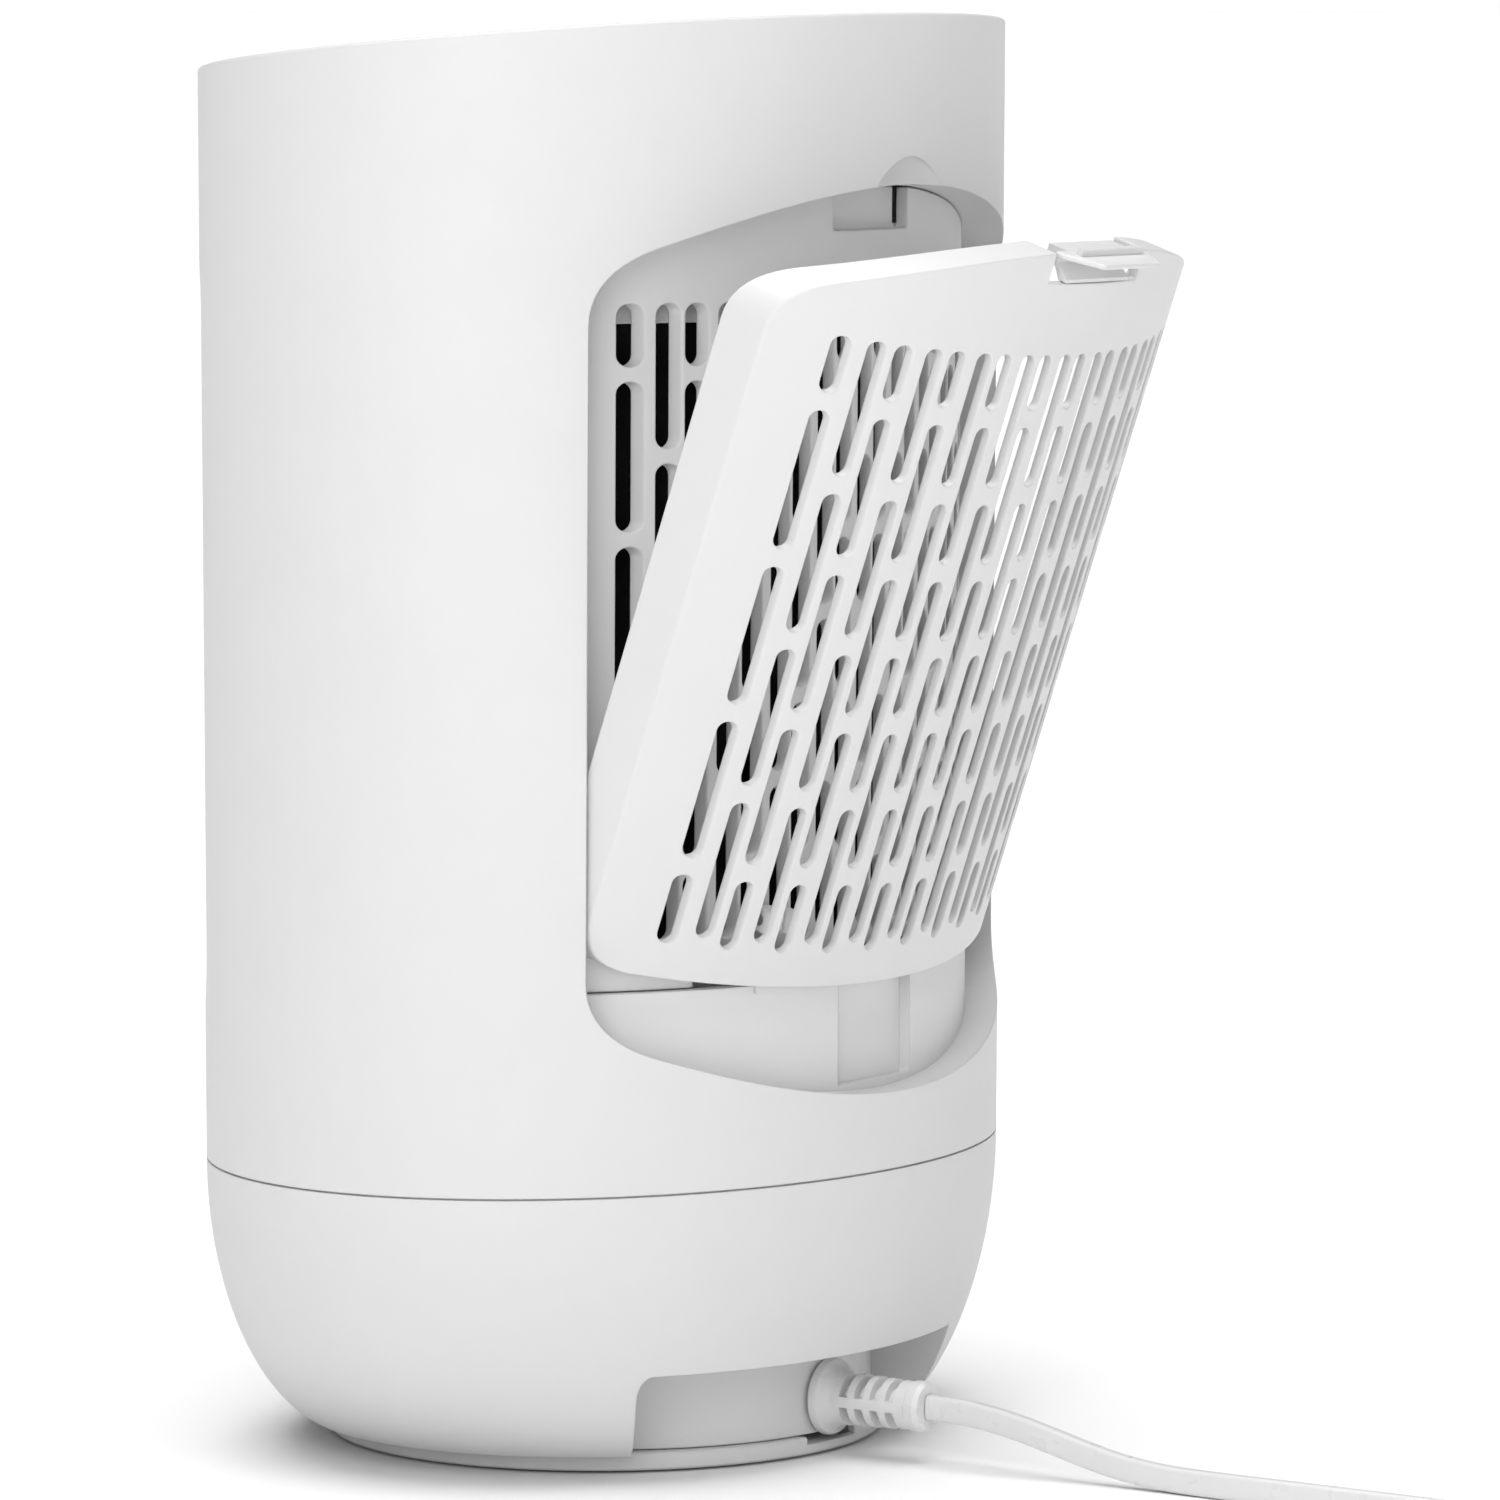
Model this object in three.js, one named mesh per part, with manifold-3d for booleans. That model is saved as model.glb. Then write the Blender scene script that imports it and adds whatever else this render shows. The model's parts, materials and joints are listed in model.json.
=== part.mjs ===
// A small oval tower air purifier, standing on its base: millimetres, +Z up, the floor at z = 0.
// X runs across its width, -Y is the front with the closed intake cover, +Y is the rear, where the
// intake cover stands open on its hinge and the cord leaves the base.
import * as THREE from "three";
import { mergeVertices } from "three/addons/utils/BufferGeometryUtils.js";
import Module from "manifold-3d";

const wasm = await Module();
wasm.setup();

// ---------------------------------------------------------------- driving sizes
const GAP = 0.3; // the clearance that touching pieces keep
const RUNNING_FIT = 0.1; // the clearance of a hole that turns on a pin or a shaft
const OVAL_SEGMENTS = 40;

const BODY = {
  halfWidth: 124.9, // at the seam, along X
  halfDepth: 96.2, // at the seam, along Y
  seamHeight: 78.2,
  rimHeight: 373, // on the body's axis
  rimSlope: 0.0876, // the rim rises towards the rear by this much per millimetre
  draft: 0.0039, // how much each half size grows per millimetre of height
  wall: 3,
  bowlWall: 3,
  seamGap: 0.5,
};
const FOOT = { halfWidth: 76.7, halfDepth: 73.9, height: 5.5 };
const PLATE = {
  depth: 11.5,
  thickness: 3.5,
  flange: 2,
  flangeLap: 4,
  cutHalfWidth: 62,
  cutTop: 137,
  top: 345,
  notchHalfWidth: 17.6, // the notch that the latch's catch swings into
  notchLow: 325,
  notchWall: 0.6,
};
const OPENING = {
  halfWidth: 96.3,
  low: 99, // the lowest point of the arched bottom edge
  high: 336.7, // the highest point of the arched top edge
  bow: 0.00225, // each arched edge drops by this times the square of the distance from the middle
  corner: 14,
  collar: 2.5, // wall of the recess behind the opening
  collarDepth: PLATE.depth + PLATE.thickness - 1,
};
const SILL = {
  top: 130,
  depth: PLATE.depth - 2.5,
  thickness: 6,
  pocketHalfWidth: 17.1,
  pocketDepth: 3.2,
  pocketLow: 101,
};
const SCOOP = { halfWidth: 15.5, depth: 2.2, height: 6.9 }; // the finger scoop over the opening
const COVER = {
  gap: 1.1, // round its edge, in the opening
  skin: 2.6,
  rim: 2.4,
  rimDepth: PLATE.depth - 1.5,
  lowerRimDepth: 4.5,
  bottom: 130.8, // its straight lower edge, just above the sill
  corner: 13,
  openAngle: 18.9,
  clearAngles: [5, 9], // where its rim rises highest on the way out
};
const SLOTS = {
  pairPitch: 16.3,
  pairStep: 9,
  firstX: 77.85,
  pairs: 10,
  rowPitch: 42.4,
  rowGap: 5.1,
  topRow: 307.9,
  top: 306.7,
  low: 140.8,
  width: 5,
  plateGrow: 0.6,
};
const HINGE = {
  y: BODY.halfDepth - PLATE.depth - 1.4,
  z: 147.8,
  pinRadius: 1.5,
  knuckleRadius: 3,
  postX: 44.7,
  postWidth: 4.6,
  lugWidth: 2.8,
  sidePlay: 0.4, // between a post and its lugs
};
const LATCH = {
  halfWidth: 16, // of the tongue
  cutHalfWidth: 21.2, // of the gap that the cover leaves for it
  rootHeight: 326.4,
  tabHalfWidth: 20,
  tipHalfWidth: 13.3,
  tabReach: 8.6, // how far the finger tab stands out of the cover
  tabThickness: 1.4,
  drop: 0.9, // how far its top stays below the cover's
};
const FILTER = {
  halfWidth: 88,
  low: 128,
  high: 316,
  windowTop: 302, // above it the cassette's frame is closed
  carbonDepth: PLATE.depth + PLATE.thickness + 3.2,
  carbonThickness: 3,
  innerY: 38,
  border: 3,
};
const FAN = {
  ductRadius: 64,
  ductWall: 2.5,
  ductLow: 322,
  ductHigh: 350.8,
  deckHeight: 341.2,
  deckThickness: 2.4,
  bladeCount: 7,
  bladeTip: 61.5,
  bladeChord: 21,
  bladeThickness: 2,
  bladePitch: 0.62, // in radians
  hubRadius: 24,
  hubLow: 327,
  hubHigh: 345,
};
const MOTOR = {
  radius: 21,
  height: 26,
  high: FAN.hubLow - 1.5,
  shaftRadius: 2.5,
  shaftSeat: 5, // how deep the shaft sits in it
  shaftProud: 4, // how far the shaft stands above the hub
  mountHeight: 4,
  mountWall: 3,
  armHalfWidth: 3,
  nutRadius: 5,
  nutHeight: 3.5,
};
const TOP = {
  recess: 4, // of the deck below the rim
  thickness: 3,
  sideGap: 0.6,
  splitY: -30, // the line between the outlet and the controls
  splitGap: 0.5,
  margin: 14, // of the louvres from the body's outline
  louvrePitch: 9,
  louvreGap: 5,
  firstLouvre: 10, // from the split line
  shortestLouvre: 20,
  ribHalfWidth: 2,
};
const BUTTON = { radius: 6.5, pitch: 21, height: 5.4, proud: 0.8, flange: 1.2, y: -58 };
const LENS = { halfWidth: 16, halfDepth: 2.5, y: -76 };
const BOARD = {
  high: 359,
  thickness: 1.6,
  halfWidth: 46,
  y0: -70,
  y1: -42,
  switchHalf: 3,
  switchHeight: 4,
  pillarX: 42,
  pillarY: -46,
  pillarRadius: 2.5,
};
const POWER = {
  height: 24,
  thickness: 1.6,
  halfWidth: 40,
  halfDepth: 28,
  postX: 34,
  postY: 22,
  postRadius: 3,
};
const CORD = { height: 6.7, width: 4.4, exitHeight: 15 };
const RELIEF = {
  wallRadius: 71.6, // of the recess wall that its flange rests on
  inside: 9, // how far it reaches behind that wall
  flangeRadius: 10.3,
  flangeThickness: 2.6,
  bodyRadius: 6.6,
  endY: 104,
  endRadius: 6.3,
  slits: 4,
  firstSlit: 81,
  slitPitch: 4.6,
  slitWidth: 2.3,
  ribHalfHeight: 1.6,
};
const MOTOR_LEAD = [
  [-30, 12, 50], [-48, 10, 58], [-80, 4, 84], [-101, 0, 118], [-104, 0, 160], [-104, 0, 220],
  [-103, 0, 270], [-92, 0, 298], [-70, 0, 306], [-45, 0, 308], [-21.4, 0, 308],
];
const CORD_ROUTE = [
  [0, 104.3, 15], [0, 112, 14.9], [0, 121, 14.2], [0, 131, 12.6], [0, 142, 10.1],
  [0, 153, 7.4], [0, 164, 5.2], [0, 176, 3.9], [0, 190, 3.5], [0, 210, 3.5],
  [0, 235, 3.5], [0, 262, 3.5], [0, 280, 3.5], [0, 293, 3.5],
];
const COIL = { x: -42.6, y: 320, inner: 26.8, outer: 48, height: 13.7 };
const TIE = { halfWidth: 4, thickness: 1.3, play: 0.4 };
const PLUG = {
  x: -88.1,
  y: 293,
  z: 8.8,
  length: 34,
  bladeSpread: 6.35,
  bladeHalfThickness: 0.8,
  bladeHalfWidth: 3.15,
  bladeLength: 17,
};
const PAD = { shadow: 0.8, inset: 6, thickness: 1.6 };
const SCREW = {
  count: 4,
  circle: 58,
  turn: Math.PI / 4,
  hole: 1.8,
  head: 3.4,
  headHeight: 2,
  boss: 4,
  bossTop: 22,
};
const RECESS = { ceiling: 29.8, wall: 2.5, startAngle: 39.7 * (Math.PI / 180), endX: -38, endOuterX: -50 };

const FAR = BODY.halfWidth + 25; // beyond the body's side
const TALL = [60, BODY.rimHeight - 13]; // the heights between which intake ovals are drawn
const Y_IN = 20; // intake shapes are pushed through from here, clear of the middle of the body
const Y_OUT = BODY.halfDepth + 43.8;

// ---------------------------------------------------------------- solids and how they join
// A closed three.js geometry as a solid that can be joined and cut.
function solid(geometry) {
  const bare = new THREE.BufferGeometry().setAttribute("position", geometry.getAttribute("position"));
  if (geometry.index) bare.setIndex(geometry.index);
  const merged = mergeVertices(bare, 1e-4);
  return new wasm.Manifold(
    new wasm.Mesh({
      numProp: 3,
      vertProperties: new Float32Array(merged.attributes.position.array),
      triVerts: new Uint32Array(merged.index.array),
    }),
  );
}

const join = (first, ...rest) => rest.reduce((sum, next) => sum.add(next), first);
const cut = (first, ...rest) => rest.reduce((left, next) => left.subtract(next), first);
const common = (first, ...rest) => rest.reduce((left, next) => left.intersect(next), first);

// The solid's surface as a three.js geometry with a normal for each face.
function geometryOf(body) {
  const mesh = body.getMesh();
  const points = new Float32Array((mesh.vertProperties.length / mesh.numProp) * 3);
  for (let i = 0; i * 3 < points.length; i++)
    points.set(mesh.vertProperties.subarray(i * mesh.numProp, i * mesh.numProp + 3), i * 3);
  const geometry = new THREE.BufferGeometry()
    .setAttribute("position", new THREE.BufferAttribute(points, 3))
    .setIndex(new THREE.BufferAttribute(new Uint32Array(mesh.triVerts), 1))
    .toNonIndexed();
  geometry.computeVertexNormals();
  return geometry;
}

// ---------------------------------------------------------------- shapes
// An upright solid of oval rings { z, a, b }, from its lowest to its highest.
function ovalSolid(rings, segments = OVAL_SEGMENTS) {
  const profile = [
    new THREE.Vector2(0, rings[0].z),
    ...rings.map((ring) => new THREE.Vector2(ring.a, ring.z)),
    new THREE.Vector2(0, rings.at(-1).z),
  ];
  const lathe = new THREE.LatheGeometry(profile, segments).rotateX(Math.PI / 2);
  const position = lathe.getAttribute("position");
  for (let i = 0; i < position.count; i++) {
    const step = i % profile.length;
    const ring = rings[THREE.MathUtils.clamp(step - 1, 0, rings.length - 1)];
    position.setY(i, (position.getY(i) * ring.b) / ring.a);
  }
  return solid(lathe);
}

const disc = (radius, low, high, segments = 24) =>
  ovalSolid([{ z: low, a: radius, b: radius }, { z: high, a: radius, b: radius }], segments);

function box(x0, x1, y0, y1, z0, z1) {
  return solid(
    new THREE.BoxGeometry(x1 - x0, y1 - y0, z1 - z0).translate((x0 + x1) / 2, (y0 + y1) / 2, (z0 + z1) / 2),
  );
}

const prism = (shapes, depth, curveSegments) =>
  new THREE.ExtrudeGeometry(shapes, { depth, bevelEnabled: false, curveSegments });

// A shape drawn in plan, raised from one height to another.
const raised = (shape, low, high, curveSegments = 8) =>
  solid(prism(shape, high - low, curveSegments).translate(0, 0, low));

// A shape drawn in the rear view (X, Z), pushed through from y0 to y1.
const pushed = (shapes, y0, y1, curveSegments = 6) =>
  solid(prism(shapes, y1 - y0, curveSegments).rotateX(Math.PI / 2).translate(0, y1, 0));

// A shape drawn in the side view (Y, Z), drawn across from x0 to x1.
function drawnAcross(shape, x0, x1, curveSegments = 6) {
  const turn = new THREE.Matrix4().makeBasis(
    new THREE.Vector3(0, 1, 0),
    new THREE.Vector3(0, 0, 1),
    new THREE.Vector3(1, 0, 0),
  );
  return solid(prism(shape, x1 - x0, curveSegments).applyMatrix4(turn).translate(x0, 0, 0));
}

const polygon = (points) => new THREE.Shape(points.map(([x, y]) => new THREE.Vector2(x, y)));

// The same solid after a three.js matrix.
const moved = (body, matrix) => solid(geometryOf(body).applyMatrix4(matrix));

const mirrorToFront = (body) => moved(body, new THREE.Matrix4().makeRotationZ(Math.PI));

// What lies level in the body's top is sheared, so that it follows the sloping rim.
const toRimSlope = (body) =>
  moved(body, new THREE.Matrix4().set(1, 0, 0, 0, 0, 1, 0, 0, 0, BODY.rimSlope, 1, 0, 0, 0, 0, 1));

// ---------------------------------------------------------------- the body's own surfaces
const growth = (z) => (z - BODY.seamHeight) * BODY.draft;

// The tower's outer oval, set in by a depth, between two heights.
function tower(depth, low, high) {
  return ovalSolid(
    [low, high].map((z) => ({
      z,
      a: BODY.halfWidth + growth(z) - depth,
      b: BODY.halfDepth + growth(z) - depth,
    })),
  );
}

// The bowl below the seam: how far out it stands between the foot (0) and the seam (1).
function bowlSpread(z) {
  const drop = THREE.MathUtils.clamp((BODY.seamHeight - z) / (BODY.seamHeight - 3.5), 0, 1);
  return Math.pow(1 - drop * drop, 1 / 1.69);
}

function bowl(depth, low, high) {
  const heights = [low];
  for (const z of [9, 14, 22, 33, 47]) if (z > low + 1 && z < high - 1) heights.push(z);
  heights.push(high);
  return ovalSolid(
    heights.map((z) => ({
      z,
      a: FOOT.halfWidth + (BODY.halfWidth - FOOT.halfWidth) * bowlSpread(z) - depth,
      b: FOOT.halfDepth + (BODY.halfDepth - FOOT.halfDepth) * bowlSpread(z) - depth,
    })),
  );
}

// The outline of an intake, seen from the rear, grown by a margin; its lower edge may be straight.
function intakeOutline(grow, low, lowBow, corner) {
  const width = OPENING.halfWidth + grow;
  const high = OPENING.high + grow;
  const round = corner + grow;
  const edge = width - round;
  const dropAt = (x) => OPENING.bow * x * x;
  const riseAt = (x) => lowBow * x * x;
  const outline = new THREE.Shape();
  outline.moveTo(width, low + riseAt(width) + round);
  outline.lineTo(width, high - dropAt(width) - round);
  outline.quadraticCurveTo(width, high - dropAt(width), edge, high - dropAt(edge));
  outline.quadraticCurveTo(0, high + dropAt(edge), -edge, high - dropAt(edge));
  outline.quadraticCurveTo(-width, high - dropAt(width), -width, high - dropAt(width) - round);
  outline.lineTo(-width, low + riseAt(width) + round);
  outline.quadraticCurveTo(-width, low + riseAt(width), -edge, low + riseAt(edge));
  outline.quadraticCurveTo(0, low - riseAt(edge), edge, low + riseAt(edge));
  outline.quadraticCurveTo(width, low + riseAt(width), width, low + riseAt(width) + round);
  return outline;
}

const openingOutline = (grow) => intakeOutline(grow, OPENING.low - grow, OPENING.bow, OPENING.corner);
const coverOutline = (inset) =>
  intakeOutline(-COVER.gap - inset, COVER.bottom + inset, 0, COVER.corner);

const throughOpening = (grow) => pushed(openingOutline(grow), Y_IN, Y_OUT);

// One air slot: with pointed ends where it is seen from outside, plain where it lies behind.
function slot(x, low, high, width, pointed) {
  const half = width / 2;
  if (!pointed) return polygon([[x + half, low], [x + half, high], [x - half, high], [x - half, low]]);
  const nose = half * 0.8;
  return polygon([
    [x, low],
    [x + half, low + nose],
    [x + half, high - nose],
    [x, high],
    [x - half, high - nose],
    [x - half, low + nose],
  ]);
}

// All air slots: pairs of columns whose rows are half a pitch apart, clipped to one field.
function slotField(grow, pointed) {
  const shapes = [];
  for (let pair = 0; pair < SLOTS.pairs; pair++)
    for (const column of [0, 1]) {
      const x = SLOTS.firstX - pair * SLOTS.pairPitch - column * SLOTS.pairStep;
      const first = SLOTS.topRow + (column ? 0 : SLOTS.rowPitch / 2);
      for (let row = 0; row < 5; row++) {
        const high = Math.min(first - row * SLOTS.rowPitch, SLOTS.top);
        const low = Math.max(first - (row + 1) * SLOTS.rowPitch + SLOTS.rowGap, SLOTS.low);
        if (high - low > SLOTS.width * 2)
          shapes.push(slot(x, low - grow, high + grow, SLOTS.width + grow * 2, pointed));
      }
    }
  return pushed(shapes, Y_IN, Y_OUT);
}

// ---------------------------------------------------------------- the scene graph
const part = new THREE.Group();
const coverGroup = new THREE.Group();
const open = THREE.MathUtils.degToRad(COVER.openAngle);
coverGroup.position.set(0, HINGE.y, HINGE.z);
coverGroup.rotation.x = -open;
part.add(coverGroup);

const FINISH = {
  housing: { color: 0xe9e9e7, roughness: 0.55, metalness: 0 },
  cover: { color: 0xefefee, roughness: 0.4, metalness: 0 },
  gloss: { color: 0xf2f2f1, roughness: 0.25, metalness: 0 },
  grey: { color: 0xcfcfce, roughness: 0.5, metalness: 0 },
  dark: { color: 0x2b2c2e, roughness: 0.6, metalness: 0 },
  carbon: { color: 0x0b0b0c, roughness: 0.95, metalness: 0 },
  paper: { color: 0xf4f3ef, roughness: 0.9, metalness: 0 },
  rubber: { color: 0x3a3b3d, roughness: 0.85, metalness: 0 },
  board: { color: 0x1d5b3a, roughness: 0.5, metalness: 0 },
  steel: { color: 0xb9bcc0, roughness: 0.35, metalness: 1 },
  brass: { color: 0xc9b27a, roughness: 0.3, metalness: 1 },
  lens: { color: 0xdfe6ea, roughness: 0.2, metalness: 0 },
};

function addPiece(name, body, finish, group = part) {
  const geometry = geometryOf(body);
  if (group !== part) geometry.translate(0, -HINGE.y, -HINGE.z);
  const mesh = new THREE.Mesh(geometry, new THREE.MeshStandardMaterial(FINISH[finish]));
  mesh.name = name;
  group.add(mesh);
  return mesh;
}

// ---------------------------------------------------------------- housing
const aboveRim = () => toRimSlope(box(-FAR, FAR, -Y_OUT, Y_OUT, BODY.rimHeight, BODY.rimHeight + 60));

function makeTowerShell() {
  const low = BODY.seamHeight + BODY.seamGap;
  const high = BODY.rimHeight + 20;
  const outer = cut(tower(0, low, high), aboveRim());
  const collar = cut(throughOpening(OPENING.collar), tower(OPENING.collarDepth, 50, high + 5));
  const sillFace = box(-FAR, FAR, Y_IN, Y_OUT, 60, SILL.top);
  const sill = common(
    cut(tower(SILL.depth, low, high), tower(SILL.depth + SILL.thickness, low - 1, high + 1)),
    throughOpening(1),
    sillFace,
  );
  const pocket = cut(
    box(-SILL.pocketHalfWidth, SILL.pocketHalfWidth, Y_IN, Y_OUT, SILL.pocketLow, SILL.top + 1),
    tower(SILL.depth + SILL.pocketDepth, low - 1, high + 1),
  );
  const intakeWalls = join(collar, cut(sill, pocket));
  const recess = cut(throughOpening(0), cut(sill, pocket));
  const cavity = cut(
    tower(BODY.wall, low - 1, high + 1),
    intakeWalls,
    mirrorToFront(intakeWalls),
  );
  const scoop = common(
    solid(
      new THREE.SphereGeometry(1, 16, 10)
        .scale(SCOOP.halfWidth, SCOOP.depth, SCOOP.height)
        .translate(0, BODY.halfDepth + growth(OPENING.high), OPENING.high),
    ),
    box(-20, 20, 60, Y_OUT, OPENING.high - 1, OPENING.high + 20),
  );
  return join(cut(outer, cavity, recess, mirrorToFront(recess), scoop), hingePost(-1), hingePost(1));
}

// A post on the sill with the eye that holds a hinge pin.
function hingePost(side) {
  const x = side * HINGE.postX;
  const frontOfPlate = plateFaceY(HINGE.postX - HINGE.postWidth / 2) + GAP;
  const eye = polygon([
    [frontOfPlate, SILL.top - 2],
    [frontOfPlate + 1.3, SILL.top - 2],
    [frontOfPlate + 1.3, SILL.top + 4],
    [frontOfPlate + 2.2, HINGE.z - 7],
    [HINGE.y + HINGE.knuckleRadius, HINGE.z - 2.4],
    [HINGE.y + HINGE.knuckleRadius, HINGE.z + 2.4],
    [HINGE.y + 1, HINGE.z + HINGE.knuckleRadius],
    [frontOfPlate, HINGE.z + HINGE.knuckleRadius],
  ]);
  return cut(
    drawnAcross(eye, x - HINGE.postWidth / 2, x + HINGE.postWidth / 2),
    hingeRod(HINGE.pinRadius + RUNNING_FIT, x - 10, x + 10),
  );
}

// Where the inner plate's face stands at a distance from the middle.
function plateFaceY(x) {
  const a = BODY.halfWidth + growth(HINGE.z) - PLATE.depth;
  const b = BODY.halfDepth + growth(HINGE.z) - PLATE.depth;
  return b * Math.sqrt(1 - (x / a) ** 2);
}

const hingeRod = (radius, x0, x1) =>
  solid(
    new THREE.CylinderGeometry(radius, radius, x1 - x0, 16)
      .rotateZ(Math.PI / 2)
      .translate((x0 + x1) / 2, HINGE.y, HINGE.z),
  );

addPiece("upper_shell", makeTowerShell(), "housing");

// The cut in the bowl where the cord comes out: a sector behind the foot, up to a ceiling.
function cordRecess(grow, low, high) {
  const radius = RELIEF.wallRadius - grow;
  const far = 140;
  const start = RECESS.startAngle - grow / RELIEF.wallRadius;
  const endX = RECESS.endX - grow;
  const end = Math.acos(endX / radius);
  const shape = new THREE.Shape();
  shape.moveTo(far * Math.cos(start), far * Math.sin(start));
  shape.lineTo(radius * Math.cos(start), radius * Math.sin(start));
  shape.absarc(0, 0, radius, start, end, false);
  shape.lineTo(RECESS.endOuterX - grow, far);
  return raised(shape, low, high, 12);
}

function makeLowerShell() {
  const low = FOOT.height + GAP;
  const high = BODY.seamHeight;
  const block = cordRecess(RECESS.wall, 0, RECESS.ceiling + RECESS.wall);
  const cavity = cut(bowl(BODY.bowlWall, low + 3, high + 1), block);
  const bottomHole = disc(SCREW.circle - 10, low - 5, low + 5, 32);
  const bosses = aroundBase((x, y) => ringAt(x, y, SCREW.boss, SCREW.hole, low + 1, SCREW.bossTop));
  const holes = aroundBase((x, y) => discAt(x, y, SCREW.hole, low - 5, low + 5));
  const exit = discAlongY(RELIEF.bodyRadius + GAP, RELIEF.wallRadius - 12, RELIEF.wallRadius + 5);
  const shell = join(cut(bowl(0, low, high), cavity), ...bosses);
  return cut(shell, bottomHole, cordRecess(0, -1, RECESS.ceiling), exit, ...holes);
}

function discAt(x, y, radius, low, high, segments = 12) {
  const geometry = new THREE.CylinderGeometry(radius, radius, high - low, segments);
  return solid(geometry.rotateX(Math.PI / 2).translate(x, y, (low + high) / 2));
}
const ringAt = (x, y, outer, inner, low, high) =>
  cut(discAt(x, y, outer, low, high), discAt(x, y, inner, low - 1, high + 1));

// A disc round the line on which the cord leaves the body.
function discAlongY(radius, y0, y1, segments = 20) {
  const geometry = new THREE.CylinderGeometry(radius, radius, y1 - y0, segments);
  return solid(geometry.translate(0, (y0 + y1) / 2, CORD.exitHeight));
}

// What is made at each base screw.
function aroundBase(make) {
  return Array.from({ length: SCREW.count }, (_, i) => {
    const angle = SCREW.turn + (i * 2 * Math.PI) / SCREW.count;
    return make(SCREW.circle * Math.cos(angle), SCREW.circle * Math.sin(angle));
  });
}

addPiece("lower_shell", makeLowerShell(), "housing");

function makeBasePlate() {
  const foot = (inset, z0, z1) =>
    ovalSolid([z0, z1].map((z) => ({ z, a: FOOT.halfWidth - inset, b: FOOT.halfDepth - inset })));
  const plate = foot(0, PAD.shadow, FOOT.height);
  const pad = foot(PAD.inset - GAP, PAD.shadow - 1, PAD.thickness + GAP);
  const holes = aroundBase((x, y) => discAt(x, y, SCREW.hole, -1, 10));
  const headTop = PAD.thickness + SCREW.headHeight + GAP;
  const heads = aroundBase((x, y) => discAt(x, y, SCREW.head + GAP, -1, headTop));
  const notchHalf = RELIEF.flangeRadius + 1;
  const notch = box(-notchHalf, notchHalf, 60, 90, FOOT.height - 2.1, FOOT.height + 1);
  const posts = [[1, 1], [1, -1], [-1, 1], [-1, -1]].map(([i, j]) =>
    discAt(i * POWER.postX, j * POWER.postY, POWER.postRadius, FOOT.height - 1, POWER.height - GAP, 10),
  );
  return join(cut(plate, pad, notch, ...holes, ...heads), ...posts);
}
addPiece("base_plate", makeBasePlate(), "housing");
addPiece(
  "base_pad",
  ovalSolid(
    [0, PAD.thickness].map((z) => ({ z, a: FOOT.halfWidth - PAD.inset, b: FOOT.halfDepth - PAD.inset })),
  ),
  "rubber",
);
aroundBase((x, y) => [x, y]).forEach(([x, y], i) => {
  const headLow = PAD.thickness + GAP;
  const screw = join(
    discAt(x, y, SCREW.head, headLow, headLow + SCREW.headHeight),
    discAt(x, y, SCREW.hole - GAP, headLow + 1, SCREW.bossTop - 1),
  );
  addPiece(`base_screw_${i + 1}`, screw, "steel");
});

// ---------------------------------------------------------------- rear intake: plate, filter, cover
const band = (depth, thickness) =>
  cut(tower(depth, ...TALL), tower(depth + thickness, TALL[0] - 1, TALL[1] + 1));

function makeRearPlate() {
  const face = common(band(PLATE.depth, PLATE.thickness), throughOpening(-GAP));
  const flange = common(
    band(OPENING.collarDepth + GAP, PLATE.flange),
    throughOpening(PLATE.flangeLap),
  );
  const keep = box(-FAR, FAR, Y_IN, Y_OUT, SILL.top + GAP, PLATE.top);
  const cutOut = box(-PLATE.cutHalfWidth, PLATE.cutHalfWidth, Y_IN, Y_OUT, 100, PLATE.cutTop);
  const notch = common(
    box(-PLATE.notchHalfWidth, PLATE.notchHalfWidth, Y_IN, Y_OUT, PLATE.notchLow, PLATE.top),
    cut(
      tower(PLATE.depth - 1, ...TALL),
      tower(OPENING.collarDepth + GAP + PLATE.notchWall, TALL[0] - 1, TALL[1] + 1),
    ),
  );
  return cut(common(join(face, flange), keep), cutOut, notch, slotField(SLOTS.plateGrow, false));
}
addPiece("rear_grille", makeRearPlate(), "housing");

const filterBox = (inset, y0, high) =>
  box(-FILTER.halfWidth + inset, FILTER.halfWidth - inset, y0, Y_OUT, FILTER.low + inset, high);

// The filter cassette: a frame behind the plate, with an active-carbon sheet in front of a pleated block.
function makeFilterFrame() {
  const block = common(tower(FILTER.carbonDepth, ...TALL), filterBox(0, FILTER.innerY, FILTER.high));
  return cut(block, filterBox(FILTER.border, FILTER.innerY - 1, FILTER.windowTop));
}

function makeCarbonSheet() {
  return common(
    band(FILTER.carbonDepth + GAP, FILTER.carbonThickness),
    filterBox(FILTER.border + GAP, Y_IN, FILTER.windowTop - GAP),
  );
}

function makePleatedBlock() {
  return common(
    tower(FILTER.carbonDepth + FILTER.carbonThickness + 2 * GAP, ...TALL),
    filterBox(FILTER.border + GAP, FILTER.innerY + 1, FILTER.windowTop - GAP),
  );
}

const cassette = [
  ["filter_frame", makeFilterFrame(), "grey"],
  ["carbon_sheet", makeCarbonSheet(), "carbon"],
  ["pleated_filter", makePleatedBlock(), "paper"],
];
for (const [name, body, finish] of cassette) {
  addPiece(`rear_${name}`, body, finish);
  addPiece(`front_${name}`, mirrorToFront(body), finish);
}

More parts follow.
